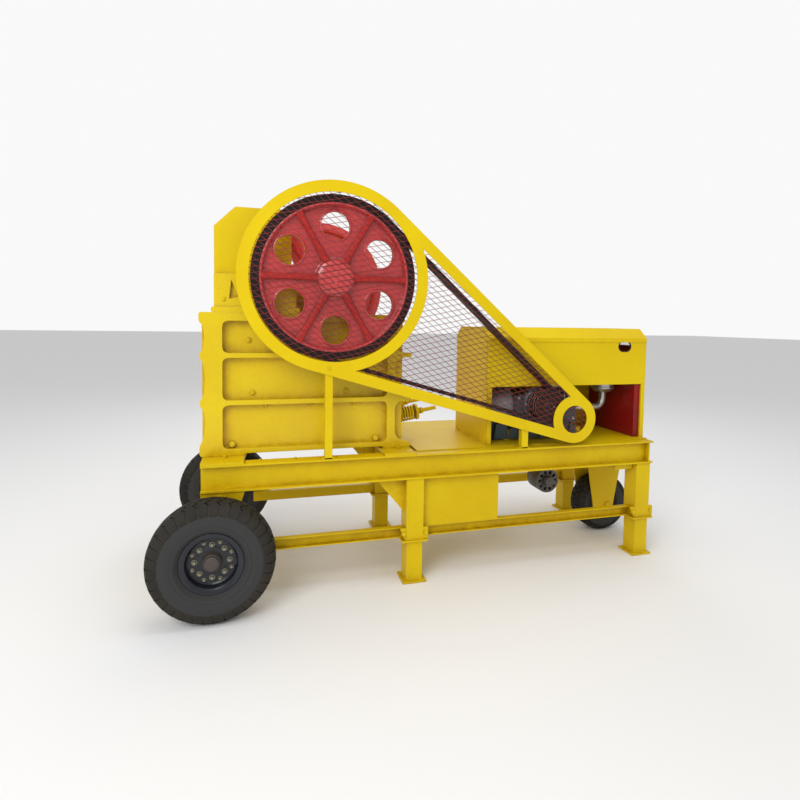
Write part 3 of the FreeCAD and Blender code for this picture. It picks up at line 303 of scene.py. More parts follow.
MESH_PAINT = Finish("mesh_paint", Slot.MESH, (0.30, 0.035, 0.035), (0.16, 0.022, 0.022), 0.45, grain=300.0,
                    specular=0.3)
TYRE_RUBBER = Finish("tyre_rubber", Slot.TYRE, (0.007, 0.0075, 0.006), (0.016, 0.0155, 0.013), 0.7,
                     grain=220.0, bump=0.5, edge=(0.05, 0.046, 0.042), edge_amount=0.5,
                     grime_and_shade=(0.02, 0.018, 0.014), grime_and_shade_amount=0.4, specular=0.04)
TREAD_RUBBER = Finish("tread_rubber", Slot.TYRE, (0.040, 0.035, 0.028), (0.016, 0.015, 0.013), 0.6,
                      grain=160.0, bump=0.5, edge=(0.12, 0.105, 0.085), edge_amount=0.6,
                      grime_and_shade=(0.003, 0.003, 0.003), grime_and_shade_amount=0.95, specular=0.14, corner_reach=0.03)
RIM_PAINT = Finish("rim_paint", Slot.RIM, (0.010, 0.012, 0.019), (0.022, 0.023, 0.028), 0.26, coat=0.25,
                   edge=(0.22, 0.23, 0.26), edge_amount=0.6, grime_and_shade=(0.005, 0.005, 0.005), grime_and_shade_amount=0.8,
                   specular=0.35)
BOLT_ZINC = Finish("bolt_zinc", Slot.RIM, (0.30, 0.29, 0.21), (0.16, 0.15, 0.10), 0.38, metallic=0.75,
                   edge=(0.6, 0.58, 0.45), edge_amount=0.4)
HUB_RUST = Finish("hub_rust", Slot.RIM, (0.085, 0.070, 0.062), (0.045, 0.034, 0.028), 0.5, metallic=0.3,
                  grain=90.0, bump=0.6, bump_depth=0.0015)
JAW_IRON = Finish("jaw_iron", Slot.JAW, (0.16, 0.12, 0.10), (0.09, 0.065, 0.05), 0.5, metallic=0.7,
                  grain=60.0, bump=0.6, bump_depth=0.0015)
BELT_RUBBER = Finish("belt_rubber_black", Slot.BELT, (0.010, 0.010, 0.010), (0.028, 0.026, 0.024), 0.5,
                     grain=260.0, bump=0.4, edge=(0.12, 0.11, 0.10), edge_amount=0.6, specular=0.2)
TURNED_STEEL = Finish("turned_steel", Slot.SHAFT, (0.52, 0.51, 0.50), (0.40, 0.39, 0.38), 0.28, metallic=1.0)
# Painted highlight: the cream edge colour stands for light catching the groove lips, along with worn iron.
PULLEY_IRON = Finish("pulley_iron_dark", Slot.PULLEY, (0.030, 0.022, 0.018), (0.014, 0.011, 0.010), 0.4,
                     metallic=0.5, edge=(0.62, 0.55, 0.42), edge_amount=0.8, specular=0.3)
ENGINE_PAINT = Finish("engine_paint", Slot.ENGINE, (0.055, 0.095, 0.115), (0.11, 0.14, 0.155), 0.38,
                      grain=80.0, bump=0.5, bump_depth=0.001, coat=0.1, edge=(0.4, 0.42, 0.42),
                      edge_amount=0.4, grime_and_shade=(0.012, 0.012, 0.012), grime_and_shade_amount=0.7, specular=0.3)
DISC_GREY = Finish("disc_grey", Slot.ENGINE, (0.33, 0.34, 0.38), (0.25, 0.26, 0.30), 0.42, metallic=0.3,
                   grain=60.0, bump=0.4)
RADIATOR_PAINT = Finish("radiator_paint", Slot.RADIATOR, (0.30, 0.006, 0.006), (0.20, 0.004, 0.005), 0.38,
                        coat=0.15, edge=(0.5, 0.05, 0.05), edge_amount=0.3, specular=0.3)
CORE_BLACK = Finish("core_black", Slot.RADIATOR, (0.03, 0.03, 0.032), (0.05, 0.05, 0.05), 0.5, grain=300.0)
CAST_ALUMINIUM = Finish("cast_aluminium", Slot.ALUMINIUM, (0.66, 0.65, 0.62), (0.50, 0.49, 0.46), 0.3,
                        metallic=0.9, grain=110.0, bump=0.3, grime_and_shade=(0.08, 0.07, 0.05), grime_and_shade_amount=0.6)
SHELL_GREY = Finish("shell_grey", Slot.ALUMINIUM, (0.16, 0.15, 0.14), (0.09, 0.085, 0.08), 0.4, metallic=0.6,
                    grain=90.0, bump=0.4, edge=(0.5, 0.48, 0.42), edge_amount=0.5, grime_and_shade=(0.01, 0.01, 0.01),
                    grime_and_shade_amount=0.8)
# Near-black: painted shade for the inside of the hand hole.
HOLE_EDGE_SHADE = Finish("hole_edge_shade", Slot.YELLOW, (0.010, 0.009, 0.009), (0.02, 0.018, 0.017), 0.5, grain=260.0,
                   specular=0.2)


def rounded(corners: Sequence[Point], radius: float, steps: int = 4) -> list[tuple[float, float]]:
    """Round every corner of an outline.

    Args:
        corners: The outline's corners in order.
        radius: The rounding radius, cut short where an edge has no room.
        steps: Straight pieces in each rounded corner.

    Returns:
        The rounded outline.
    """
    out: list[tuple[float, float]] = []
    count = len(corners)
    for index, corner in enumerate(corners):
        here = Vector(corner)
        before, after = Vector(corners[index - 1]) - here, Vector(corners[(index + 1) % count]) - here
        reach = min(radius, before.length * 0.45, after.length * 0.45)
        start, end = here + before.normalized() * reach, here + after.normalized() * reach
        for step in range(steps + 1):
            t = step / steps
            spot = start * (1 - t) ** 2 + here * 2 * t * (1 - t) + end * t * t
            out.append((spot.x, spot.y))
    return out


def ring(centre: Point, radius: float, count: int = 32) -> list[tuple[float, float]]:
    """Return a circle's points in a plane."""
    turns = [2 * math.pi * step / count for step in range(count)]
    return [(centre[0] + radius * math.cos(a), centre[1] + radius * math.sin(a)) for a in turns]


def rectangle(low: Point, high: Point) -> list[tuple[float, float]]:
    """Return a rectangle's corners in a plane."""
    return [(low[0], low[1]), (high[0], low[1]), (high[0], high[1]), (low[0], high[1])]


class Shaper:
    """Gathers the surfaces of one piece, in millimetres from the frame's corner."""

    def __init__(self) -> None:
        """Start with nothing."""
        self.points: list[Vector] = []
        self.faces: list[list[int]] = []

    def add(self, points: Sequence[Vector], faces: Sequence[Sequence[int]]) -> None:
        """Add points and the faces between them.

        Args:
            points: The new points.
            faces: Each face's points, counted from the first new one.
        """
        base = len(self.points)
        self.points.extend(points)
        self.faces.extend([[base + index for index in face] for face in faces])

    @staticmethod
    def lift(flat: Point, along: float, axis: Axis) -> Vector:
        """Place a flat point at a distance along an axis.

        Args:
            flat: The point's two other coordinates in X, Y, Z order.
            along: Its coordinate along the axis.
            axis: The axis.

        Returns:
            The point in space.
        """
        spots = list(flat)
        spots.insert(axis.value, along)
        return Vector(spots)

    def block(self, low: Point, high: Point) -> None:
        """Add a block between two corners."""
        self.prism(rectangle(low[:2], high[:2]), low[2], high[2], Axis.Z)

    def prism(self, outline: Sequence[Point], start: float, end: float, axis: Axis,
              holes: Sequence[Sequence[Point]] = ()) -> None:
        """Thicken a flat outline, with holes in it if asked.

        Args:
            outline: The outer edge.
            start: Where it starts along the axis.
            end: Where it ends.
            axis: The axis it is thickened along.
            holes: The edges of its holes.
        """
        work = bmesh.new()
        edges = []
        for loop in (outline, *holes):
            spots = [work.verts.new(self.lift(flat, start, axis)) for flat in loop]
            edges += [work.edges.new((spot, spots[(i + 1) % len(spots)])) for i, spot in enumerate(spots)]
        bmesh.ops.triangle_fill(work, use_beauty=True, use_dissolve=False, edges=edges)
        made = bmesh.ops.extrude_face_region(work, geom=work.faces[:])
        shift = self.lift((0.0, 0.0), end - start, axis)
        for item in made["geom"]:
            if isinstance(item, bmesh.types.BMVert):
                item.co += shift
        work.verts.index_update()
        self.add([spot.co.copy() for spot in work.verts],
                 [[v.index for v in face.verts] for face in work.faces])
        work.free()

    def lathe(self, profile: Sequence[Point], centre: Point, axis: Axis = Axis.Y, sides: int = 48) -> None:
        """Turn a closed profile about an axis.

        Args:
            profile: Closed (along, radius) points, the first joined to the last.
            centre: A point on the axis, from which along is counted.
            axis: The axis.
            sides: Flat sides around.
        """
        points = []
        for side in range(sides):
            angle = 2 * math.pi * side / sides
            for along, radius in profile:
                flat = (radius * math.cos(angle), radius * math.sin(angle))
                points.append(Vector(centre) + self.lift(flat, along, axis))
        count = len(profile)
        faces = [[side * count + i, side * count + (i + 1) % count,
                  (side + 1) % sides * count + (i + 1) % count, (side + 1) % sides * count + i]
                 for side in range(sides) for i in range(count)]
        self.add(points, faces)

    def drum(self, centre: Point, radius: float, length: float, axis: Axis = Axis.Y, sides: int = 32,
             chamfer: float = 2.0) -> None:
        """Add a solid round with chamfered ends, starting at a point on its axis."""
        cut = min(chamfer, radius * 0.4, length * 0.4)
        self.lathe([(0, 0.01), (0, radius - cut), (cut, radius), (length - cut, radius),
                    (length, radius - cut), (length, 0.01)], centre, axis, sides)

    def bolt(self, spot: Point, axis: Axis, size: float = 22.0, height: float = 11.0) -> None:
        """Add a hexagon bolt head on a washer.

        Args:
            spot: The middle of the face it sits on.
            axis: The axis it points along.
            size: Its width across the corners.
            height: Its height, negative where it points to the low end of the axis.
        """
        way = 1 if height > 0 else -1
        self.lathe([(0, 0.01), (0, size * 0.72), (2.5 * way, size * 0.72), (2.5 * way, 0.01)], spot, axis, 16)
        self.lathe([(2 * way, 0.01), (2 * way, size / 2), (height * 0.8, size / 2), (height, size * 0.42),
                    (height, 0.01)], spot, axis, 6)

    def tube(self, path: Sequence[Point], radius: float, sides: int = 12) -> None:
        """Sweep a round section along a path, with closed ends.

        Args:
            path: Points along the middle.
            radius: The section's radius.
            sides: Flat sides around.
        """
        spots = [Vector(point) for point in path]
        points: list[Vector] = []
        normal = None
        for index, spot in enumerate(spots):
            ahead = (spots[min(index + 1, len(spots) - 1)] - spots[max(index - 1, 0)]).normalized()
            if normal is None:
                normal = ahead.orthogonal().normalized()
            normal = (normal - ahead * normal.dot(ahead)).normalized()
            across = ahead.cross(normal)
            for side in range(sides):
                angle = 2 * math.pi * side / sides
                points.append(spot + (normal * math.cos(angle) + across * math.sin(angle)) * radius)
        faces = [[row * sides + s, row * sides + (s + 1) % sides, (row + 1) * sides + (s + 1) % sides,
                  (row + 1) * sides + s] for row in range(len(spots) - 1) for s in range(sides)]
        last = (len(spots) - 1) * sides
        self.add(points, [*faces, list(range(sides)), [last + s for s in range(sides)]])

    def bead(self, start: Point, end: Point, radius: float = 4.0, step: float = 9.0) -> None:
        """Add a weld bead as overlapping ripples between two points."""
        first, run = Vector(start), Vector(end) - Vector(start)
        count = max(2, int(run.length / step))
        path, side = [], run.orthogonal().normalized()
        for index in range(count * 2 + 1):
            swell = 0.35 if index % 2 else -0.35
            path.append(first + run * index / (count * 2) + side * swell)
        self.tube(path, radius, 6)

    def spin(self, count: int, centre: Point, build: Callable[["Shaper"], None], start: float = 0.0) -> None:
        """Repeat a shape around an axis along Y.

        Args:
            count: How many.
            centre: A point on the axis.
            build: Adds the shape once.
            start: The first one's turn in degrees.
        """
        one = Shaper()
        build(one)
        middle = Matrix.Translation(Vector(centre))
        for index in range(count):
            angle = math.radians(start + 360 / count * index)
            turn = middle @ Matrix.Rotation(angle, 4, "Y") @ middle.inverted()
            self.add([turn @ point for point in one.points], one.faces)

    def mirror(self) -> None:
        """Add the same shape on the far side of the machine."""
        far = [Vector((p.x, 2 * MIDDLE_Y - p.y, p.z)) for p in self.points]
        self.add(far, [face[::-1] for face in list(self.faces)])

    def flip(self) -> None:
        """Move the whole shape to the far side of the machine."""
        self.points = [Vector((p.x, 2 * MIDDLE_Y - p.y, p.z)) for p in self.points]
        self.faces = [face[::-1] for face in self.faces]

    def finish(self, name: str, body: Body, finish: Finish, replaces: Sequence[str] = (),
               bevel: float = 0.0, smooth: float = 32.0) -> bpy.types.Object:
        """Make the piece, dress it and hang it on its body.

        Args:
            name: The piece's name.
            body: The body it moves with.
            finish: Its finish.
            replaces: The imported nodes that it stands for.
            bevel: Width of its rounded edges, in millimetres.
            smooth: Angle in degrees above which an edge stays sharp.

        Returns:
            The finished object.
        """
        mesh = bpy.data.meshes.new(name)
        mesh.from_pydata([TO_MODEL @ point for point in self.points], [], self.faces)
        work = bmesh.new()
        work.from_mesh(mesh)
        bmesh.ops.remove_doubles(work, verts=work.verts[:], dist=1e-6)
        bmesh.ops.dissolve_degenerate(work, edges=work.edges[:], dist=1e-7)
        bmesh.ops.recalc_face_normals(work, faces=work.faces[:])
        work.to_mesh(mesh)
        work.free()
        mesh.shade_smooth()
        mesh.set_sharp_from_angle(angle=math.radians(smooth))
        made = bpy.data.objects.new(name, mesh)
        bpy.context.scene.collection.objects.link(made)
        mesh.materials.append(finish.material())
        if bevel:
            softened = made.modifiers.new("soft_edges", "BEVEL")
            softened.width, softened.segments = bevel / 1000, 2
            softened.limit_method, softened.angle_limit = "ANGLE", math.radians(40)
        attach(made, body.value)
        if replaces:
            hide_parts(*replaces)
        LOG.info("%s on %s: %d faces", name, body.value, len(mesh.polygons))
        return made


def dress(finish: Finish, *nodes: str) -> None:
    """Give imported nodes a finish.

    Args:
        finish: The finish.
        nodes: The nodes' names.
    """
    for node in nodes:
        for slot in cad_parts[node].material_slots:
            slot.material = finish.material()
        LOG.info("%s keeps its packed shape", node)


@dataclass
class Chassis:
    """The two-beam frame with its legs, rails and skirts."""

    deck: float = 730.0
    beam_bottom: float = 590.0
    mid_leg: float = 1125.0
    end_leg: float = 2635.0
    leg_width: float = 100.0
    collar: float = 235.0

    def build(self) -> None:
        """Build every frame piece."""
        dress(FRAME_PAINT, "beam_near", "beam_far", "cross_beams", "deck_plate", "lower_rails", "side_skirts",
              "axle_hangers", "front_axle", "sole_plates", "rear_fork", "mid_legs", "end_legs")
        self.lugs()
        self.welds()
        self.hardware()

    def lugs(self) -> None:
        """The bolted lugs on each leg's collar."""
        plates, bolts = Shaper(), Shaper()
        for leg in (self.mid_leg, self.end_leg):
            edge, low, high = self.leg_width / 2, self.collar + 10, self.collar + 78
            plates.prism([(leg - edge - 36, high), (leg - edge, high), (leg - edge, low),
                          (leg - edge - 6, low)], 6, 16, Axis.Y)
            plates.prism(rectangle((leg + edge, low), (leg + edge + 30, high)), 6, 16, Axis.Y)
            for x in (leg - edge - 14, leg + edge + 15):
                bolts.bolt((x, 6, (low + high) / 2 + 4), Axis.Y, 20, -11)
        plates.mirror()
        bolts.mirror()
        plates.finish("collar_lugs", Body.MACHINE, FRAME_PAINT, bevel=1.5)
        bolts.finish("collar_bolts", Body.MACHINE, SHEET_PAINT)

    def welds(self) -> None:
        """Weld beads where legs, collars, feet and skirts join."""
        beads = Shaper()
        for leg in (self.mid_leg, self.end_leg):
            upper, lower = self.leg_width / 2, 46.0
            for height, reach, face in ((self.beam_bottom - 3, upper, 4), (self.collar + 12, upper, 4),
                                        (self.collar - 2, lower, 7), (14, lower, 7)):
                beads.bead((leg - reach, face, height), (leg + reach, face, height), 3.5)
            for x in (leg - lower, leg + lower):
                beads.bead((x, 9, 14), (x, 111, 14), 3.5)
            for x in (leg - upper, leg + upper):
                beads.bead((x, 6, self.beam_bottom - 3), (x, 78, self.beam_bottom - 3), 3.5)
        beads.bead((1176, 45, self.beam_bottom - 2), (1648, 45, self.beam_bottom - 2), 3)
        beads.bead((1178, 44, 306), (1178, 44, 588), 3)
        beads.mirror()
        beads.finish("frame_welds", Body.MACHINE, FRAME_PAINT)

    def hardware(self) -> None:
        """Bolts through the soles and the beams' top flanges."""
        bolts = Shaper()
        for x in (110, 1050):
            bolts.bolt((x, 112, 742), Axis.Z, 22, 12)
        for x in (290, 470, 830):
            bolts.bolt((x, 60, self.deck), Axis.Z, 14, 7)
        bolts.mirror()
        bolts.finish("deck_bolts", Body.MACHINE, FRAME_PAINT)


@dataclass
class CrusherBody:
    """The cast crusher: ribbed sides, front wall, jaws and hopper."""

    side: float = 140.0
    wall: float = 185.0
    inside: float = 225.0
    hopper: tuple[float, float] = (59.0, 455.0)

    def build(self) -> None:
        """Build every crusher piece."""
        self.side_casting("side_casting_near", "side_frame_near", False)
        self.side_casting("side_casting_far", "side_frame_far", True)
        self.front_ribs()
        self.hopper_trim()
        self.bearings()
        self.jaw_teeth()
        self.springs()
        dress(CAST_PAINT, "front_wall", "rear_block", "bearing_housings", "swing_jaw", "toggle_plate")
        dress(SHEET_PAINT, "hopper_cheeks", "hopper_front_plate", "tension_rods")
        dress(JAW_IRON, "cheek_liners", "fixed_jaw_plate", "swing_jaw_plate")

    def silhouette(self) -> list[tuple[float, float]]:
        """Return the casting's outline, with its waves, flanges, feet and foot arch."""
        edge = [(-8, 742), (209, 742), (215, 752), (962, 752), (967, 742), (1132, 742),
                (1132, 764), (1104, 780), (1056, 790), (1037, 826), (1035, 980), (1062, 1009), (1132, 1011),
                (1132, 1037), (1062, 1039), (1037, 1066), (1035, 1234), (1062, 1260), (1132, 1262),
                (1132, 1288), (1062, 1290), (1037, 1316), (1036, 1420), (1054, 1455), (1087, 1459),
                (1087, 1501), (-16, 1501), (-16, 1452), (6, 1430), (12, 1370), (6, 1312), (-12, 1290),
                (-12, 1260), (6, 1236), (14, 1150), (6, 1062), (-12, 1040), (-12, 1008), (8, 984),
                (14, 920), (4, 840), (-16, 796), (-16, 756)]
        return rounded(edge, 14, 3)

    def side_casting(self, name: str, node: str, far: bool) -> None:
        """One side: an open grid of ribs in front of a wall, with bosses and a shoulder.

        Args:
            name: The piece's name.
            node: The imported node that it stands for.
            far: Whether it is the plain side.
        """
        part = Shaper()
        pockets = [rounded(rectangle((100, low), (989, high)), 34, 5)
                   for low, high in ((778, 1011), (1037, 1262), (1288, 1457))]
        part.prism(self.silhouette(), self.side, self.wall + 2, Axis.Y, pockets)
        wall = [(-4, 742), (209, 742), (209, 752), (967, 752), (967, 742), (1087, 742), (1087, 1501),
                (-4, 1501)]
        part.prism(wall, self.wall, self.inside, Axis.Y)
        recess = rounded([(135, 1572), (181, 1582), (146, 1672)], 6)
        shoulder = rounded([(59, 1501), (479, 1501), (479, 1690), (466, 1703), (59, 1703)], 8)
        part.prism(shoulder, self.side + 10, self.side + 32, Axis.Y, [recess])
        part.prism(shoulder, self.side + 30, self.side + 46, Axis.Y)
        part.prism(rounded(rectangle((44, 1501), (500, 1530)), 12), self.side + 2, self.side + 46, Axis.Y)
        for x, z in CAST_BOSSES:
            part.drum((x, self.wall - 7, z), 15, 9, Axis.Y, 24)
        for x, z in ((146, 796), (930, 796)):
            part.drum((x, self.wall - 26, z), 17, 28, Axis.Y, 24, 5)
        for x in (320, 560, 800):
            part.prism([(self.wall, 1011), (self.wall, 986), (self.wall - 22, 1011)], x - 5, x + 5, Axis.X)
        if far:
            part.flip()
        part.finish(name, Body.MACHINE, CAST_PAINT, [node], bevel=4.5)
        studs = Shaper()
        for x, z in CAST_BOSSES:
            studs.bolt((x, self.wall - 7, z), Axis.Y, 15, -8)
        studs.bolt((107, self.side + 10, 1570), Axis.Y, 17, -7)
        if far:
            studs.flip()
        studs.finish(name + "_bolts", Body.MACHINE, SHEET_PAINT)

    def front_ribs(self) -> None:
        """Upright ribs across the front wall, between its cast shelves."""
        part = Shaper()
        for y in (300, 412, 528, 640):
            part.prism([(-10, 800), (26, 790), (26, 1500), (-10, 1490)], y - 12, y + 12, Axis.Y)
        part.finish("front_wall_ribs", Body.MACHINE, CAST_PAINT, bevel=4)

    def hopper_trim(self) -> None:
        """Weld beads along the feed plates."""
        part = Shaper()
        start, end = self.hopper
        part.bead((start + 4, 184, 1704), (end - 4, 184, 1704), 3)
        part.bead((end - 6, 188, 1712), (end - 6, 188, 2040), 2.5)
        part.mirror()
        part.finish("hopper_welds", Body.MACHINE, SHEET_PAINT)

    def bearings(self) -> None:
        """Bearing covers with their ring of bolts, caps and grease nipples."""
        part, bolts = Shaper(), Shaper()
        x, z = CRUSHER_SHAFT
        centre = (x, 141, z)
        part.lathe([(0, 58), (0, 118), (-3, 121), (-7, 118), (-9, 92), (-9, 58)], centre, Axis.Y, 64)
        part.lathe([(84, 58), (84, 112), (91, 108), (91, 58)], centre, Axis.Y, 64)
        part.tube([(x, 183, z + 144), (x, 183, z + 160)], 6)
        for foot in (x - 130, x + 130):
            part.block((foot - 26, 146, 1501), (foot + 26, 222, 1530))
            bolts.bolt((foot, 184, 1530), Axis.Z, 30, 18)
        bolts.spin(8, centre, lambda one: one.bolt((x + 104, 134, z), Axis.Y, 15, -8), 22.5)
        for item in (part, bolts):
            item.mirror()
        part.finish("bearing_covers", Body.MACHINE, CAST_PAINT, bevel=2.5)
        bolts.finish("bearing_bolts", Body.MACHINE, SHEET_PAINT)

    def jaw_teeth(self) -> None:
        """The upright corrugations on both wear plates."""
        teeth = Shaper()
        for index in range(11):
            y = 276 + index * 38.8
            wedge = [(y - 14, 0), (y + 14, 0), (y + 4, 14), (y - 4, 14)]
            teeth.add(*self.tooth(wedge, 122, 122))
            teeth.add(*self.tooth(wedge, 167, 372, -1))
        teeth.finish("jaw_teeth", Body.MACHINE, JAW_IRON)

    @staticmethod
    def tooth(wedge: Sequence[Point], low_x: float, high_x: float,
              way: int = 1) -> tuple[list[Vector], list[list[int]]]:
        """Return one tooth that runs up a jaw plate.

        Args:
            wedge: Its section as (y, height) corners.
            low_x: The plate's face at its foot.
            high_x: The plate's face at its head.
            way: 1 where it faces the engine end, -1 the other way.

        Returns:
            Its points and faces.
        """
        points = [Vector((x + way * (rise - 0.5), y, z)) for x, z in ((low_x, 806), (high_x, 1474))
                  for y, rise in wedge]
        return points, [[0, 1, 2, 3], [4, 5, 6, 7], [0, 1, 5, 4], [1, 2, 6, 5], [2, 3, 7, 6], [3, 0, 4, 7]]

    def springs(self) -> None:
        """The coiled tension springs with their nuts."""
        coils, nuts = Shaper(), Shaper()
        rise = math.radians(10)
        ahead = Vector((math.cos(rise), 0, math.sin(rise)))
        across = Vector((-math.sin(rise), 0, math.cos(rise)))
        for y in (MIDDLE_Y - 170, MIDDLE_Y + 170):
            start = Vector((1087, y, 897))
            turns, steps = 5.5, 132
            path = []
            for step in range(steps + 1):
                angle = 2 * math.pi * turns * step / steps
                spot = start + ahead * (15 + 92 * step / steps)
                path.append(spot + across * 39 * math.cos(angle) + Vector((0, 39 * math.sin(angle), 0)))
            coils.tube(path, 6.2, 8)
            for along in (134, 152):
                nuts.tube([start + ahead * along, start + ahead * (along + 14)], 21, 6)
        coils.finish("spring_coils", Body.MACHINE, SHEET_PAINT, ["tension_springs"])
        nuts.finish("spring_nuts", Body.MACHINE, SHEET_PAINT, bevel=1)


@dataclass
class Flywheels:
    """The two red flywheels and the shaft between them."""

    x: float = CRUSHER_SHAFT[0]
    height: float = CRUSHER_SHAFT[1]
    radius: float = 430.0
    rim: float = 48.0
    width: float = 84.0
    face: float = 13.0
    hub: float = 98.0
    web: float = 22.0
    hole: float = 76.0
    hole_circle: float = 275.0
    ribs: int = 6

    def build(self) -> None:
        """Build both wheels."""
        dress(TURNED_STEEL, "eccentric_shaft")
        self.wheel("flywheel_near", "drive_flywheel", False)
        self.wheel("flywheel_far", "balance_flywheel", True)

    def wheel(self, name: str, node: str, far: bool) -> None:
        """One cast wheel with tapered ribs, holes with raised lips, and a capped hub.

        Args:
            name: The piece's name.
            node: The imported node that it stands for.
            far: Whether it is the plain side's wheel.
        """
        part, centre, inner = Shaper(), (self.x, self.face, self.height), self.radius - self.rim
        mid, half = self.width / 2, self.web / 2
        spots = [(self.x + self.hole_circle * math.cos(math.radians(30 + 60 * i)),
                  self.height + self.hole_circle * math.sin(math.radians(30 + 60 * i)))
                 for i in range(self.ribs)]
        holes = [ring(spot, self.hole, 40) for spot in spots]
        part.prism(ring((self.x, self.height), inner + 6, 96), self.face + mid - half, self.face + mid + half,
                   Axis.Y, [*holes, ring((self.x, self.height), 50, 32)])
        for spot in spots:
            lip = self.hole
            part.lathe([(mid - half - 6, lip), (mid - half - 4, lip + 9), (mid - half + 2, lip + 13),
                        (mid + half - 2, lip + 13), (mid + half + 4, lip + 9), (mid + half + 6, lip)],
                       (spot[0], self.face, spot[1]), Axis.Y, 40)
        part.lathe([(2, inner + 10), (0, inner + 7), (2, inner - 2), (mid - half, inner - 12),
                    (mid + half, inner - 12), (self.width - 2, inner - 2), (self.width, inner + 7),
                    (self.width - 2, inner + 10)], centre, Axis.Y, 96)
        part.lathe([(5, 46.2), (2, self.hub - 9), (6, self.hub), (mid - half - 6, self.hub + 3),
                    (mid - half, self.hub + 13), (mid + half, self.hub + 13), (self.width + 20, self.hub - 6),
                    (self.width + 20, 46.2)], centre, Axis.Y, 64)
        spokes = Shaper()
        spokes.spin(self.ribs, centre, self.rib)
        if far:
            part.flip()
            spokes.flip()
        part.finish(name, Body.CRANK, WHEEL_ENAMEL, [node], bevel=3)
        spokes.finish(name + "_ribs", Body.CRANK, RIB_ENAMEL, bevel=3.5)
        self.rim_band(name, far)
        self.hub_cap(name, far)

    def rib(self, part: Shaper) -> None:
        """Add one rib, waisted in the middle and flared at both ends."""
        inner = self.radius - self.rim
        spread = [(self.hub - 12, 27), (self.hub + 34, 19), (240, 15), (inner - 40, 17), (inner + 2, 25)]
        edge = [(self.x + r, self.height + w) for r, w in spread]
        edge += [(self.x + r, self.height - w) for r, w in reversed(spread)]
        part.prism(edge, self.face + 13, self.face + self.width - 13, Axis.Y)
        narrow = [(x, self.height + (z - self.height) * 0.72) for x, z in edge]
        part.prism(narrow, self.face + 4, self.face + self.width - 4, Axis.Y)

    def rim_band(self, name: str, far: bool) -> None:
        """The dark outer band that the belts have rubbed, with its grooves on the belt side."""
        part, centre, inner = Shaper(), (self.x, self.face, self.height), self.radius - self.rim + 10
        outer = [(0, self.radius)]
        for middle in (() if far else (16.0, 42.0, 68.0)):
            outer += [(middle - 10.3, self.radius), (middle - 10.3, self.radius - 16),
                      (middle + 10.3, self.radius - 16), (middle + 10.3, self.radius)]
        part.lathe([(0, inner), *outer, (self.width, self.radius), (self.width, inner)], centre, Axis.Y, 120)
        if far:
            part.flip()
        part.finish(name + "_band", Body.CRANK, WHEEL_ENAMEL if far else GROOVE_BLACK, smooth=25)

    def hub_cap(self, name: str, far: bool) -> None:
        """The hub's end cap with two small bolts."""
        part = Shaper()
        part.lathe([(2, 0.01), (2, 70), (-1, 90), (-4, 92), (-7, 86), (-9, 60), (-9, 0.01)],
                   (self.x, self.face + 4, self.height), Axis.Y, 64)
        for rise in (-26, 26):
            part.bolt((self.x, self.face - 5, self.height + rise), Axis.Y, 13, -3)
        if far:
            part.flip()
        part.finish(name + "_cap", Body.CRANK, WHEEL_ENAMEL, bevel=1.2)


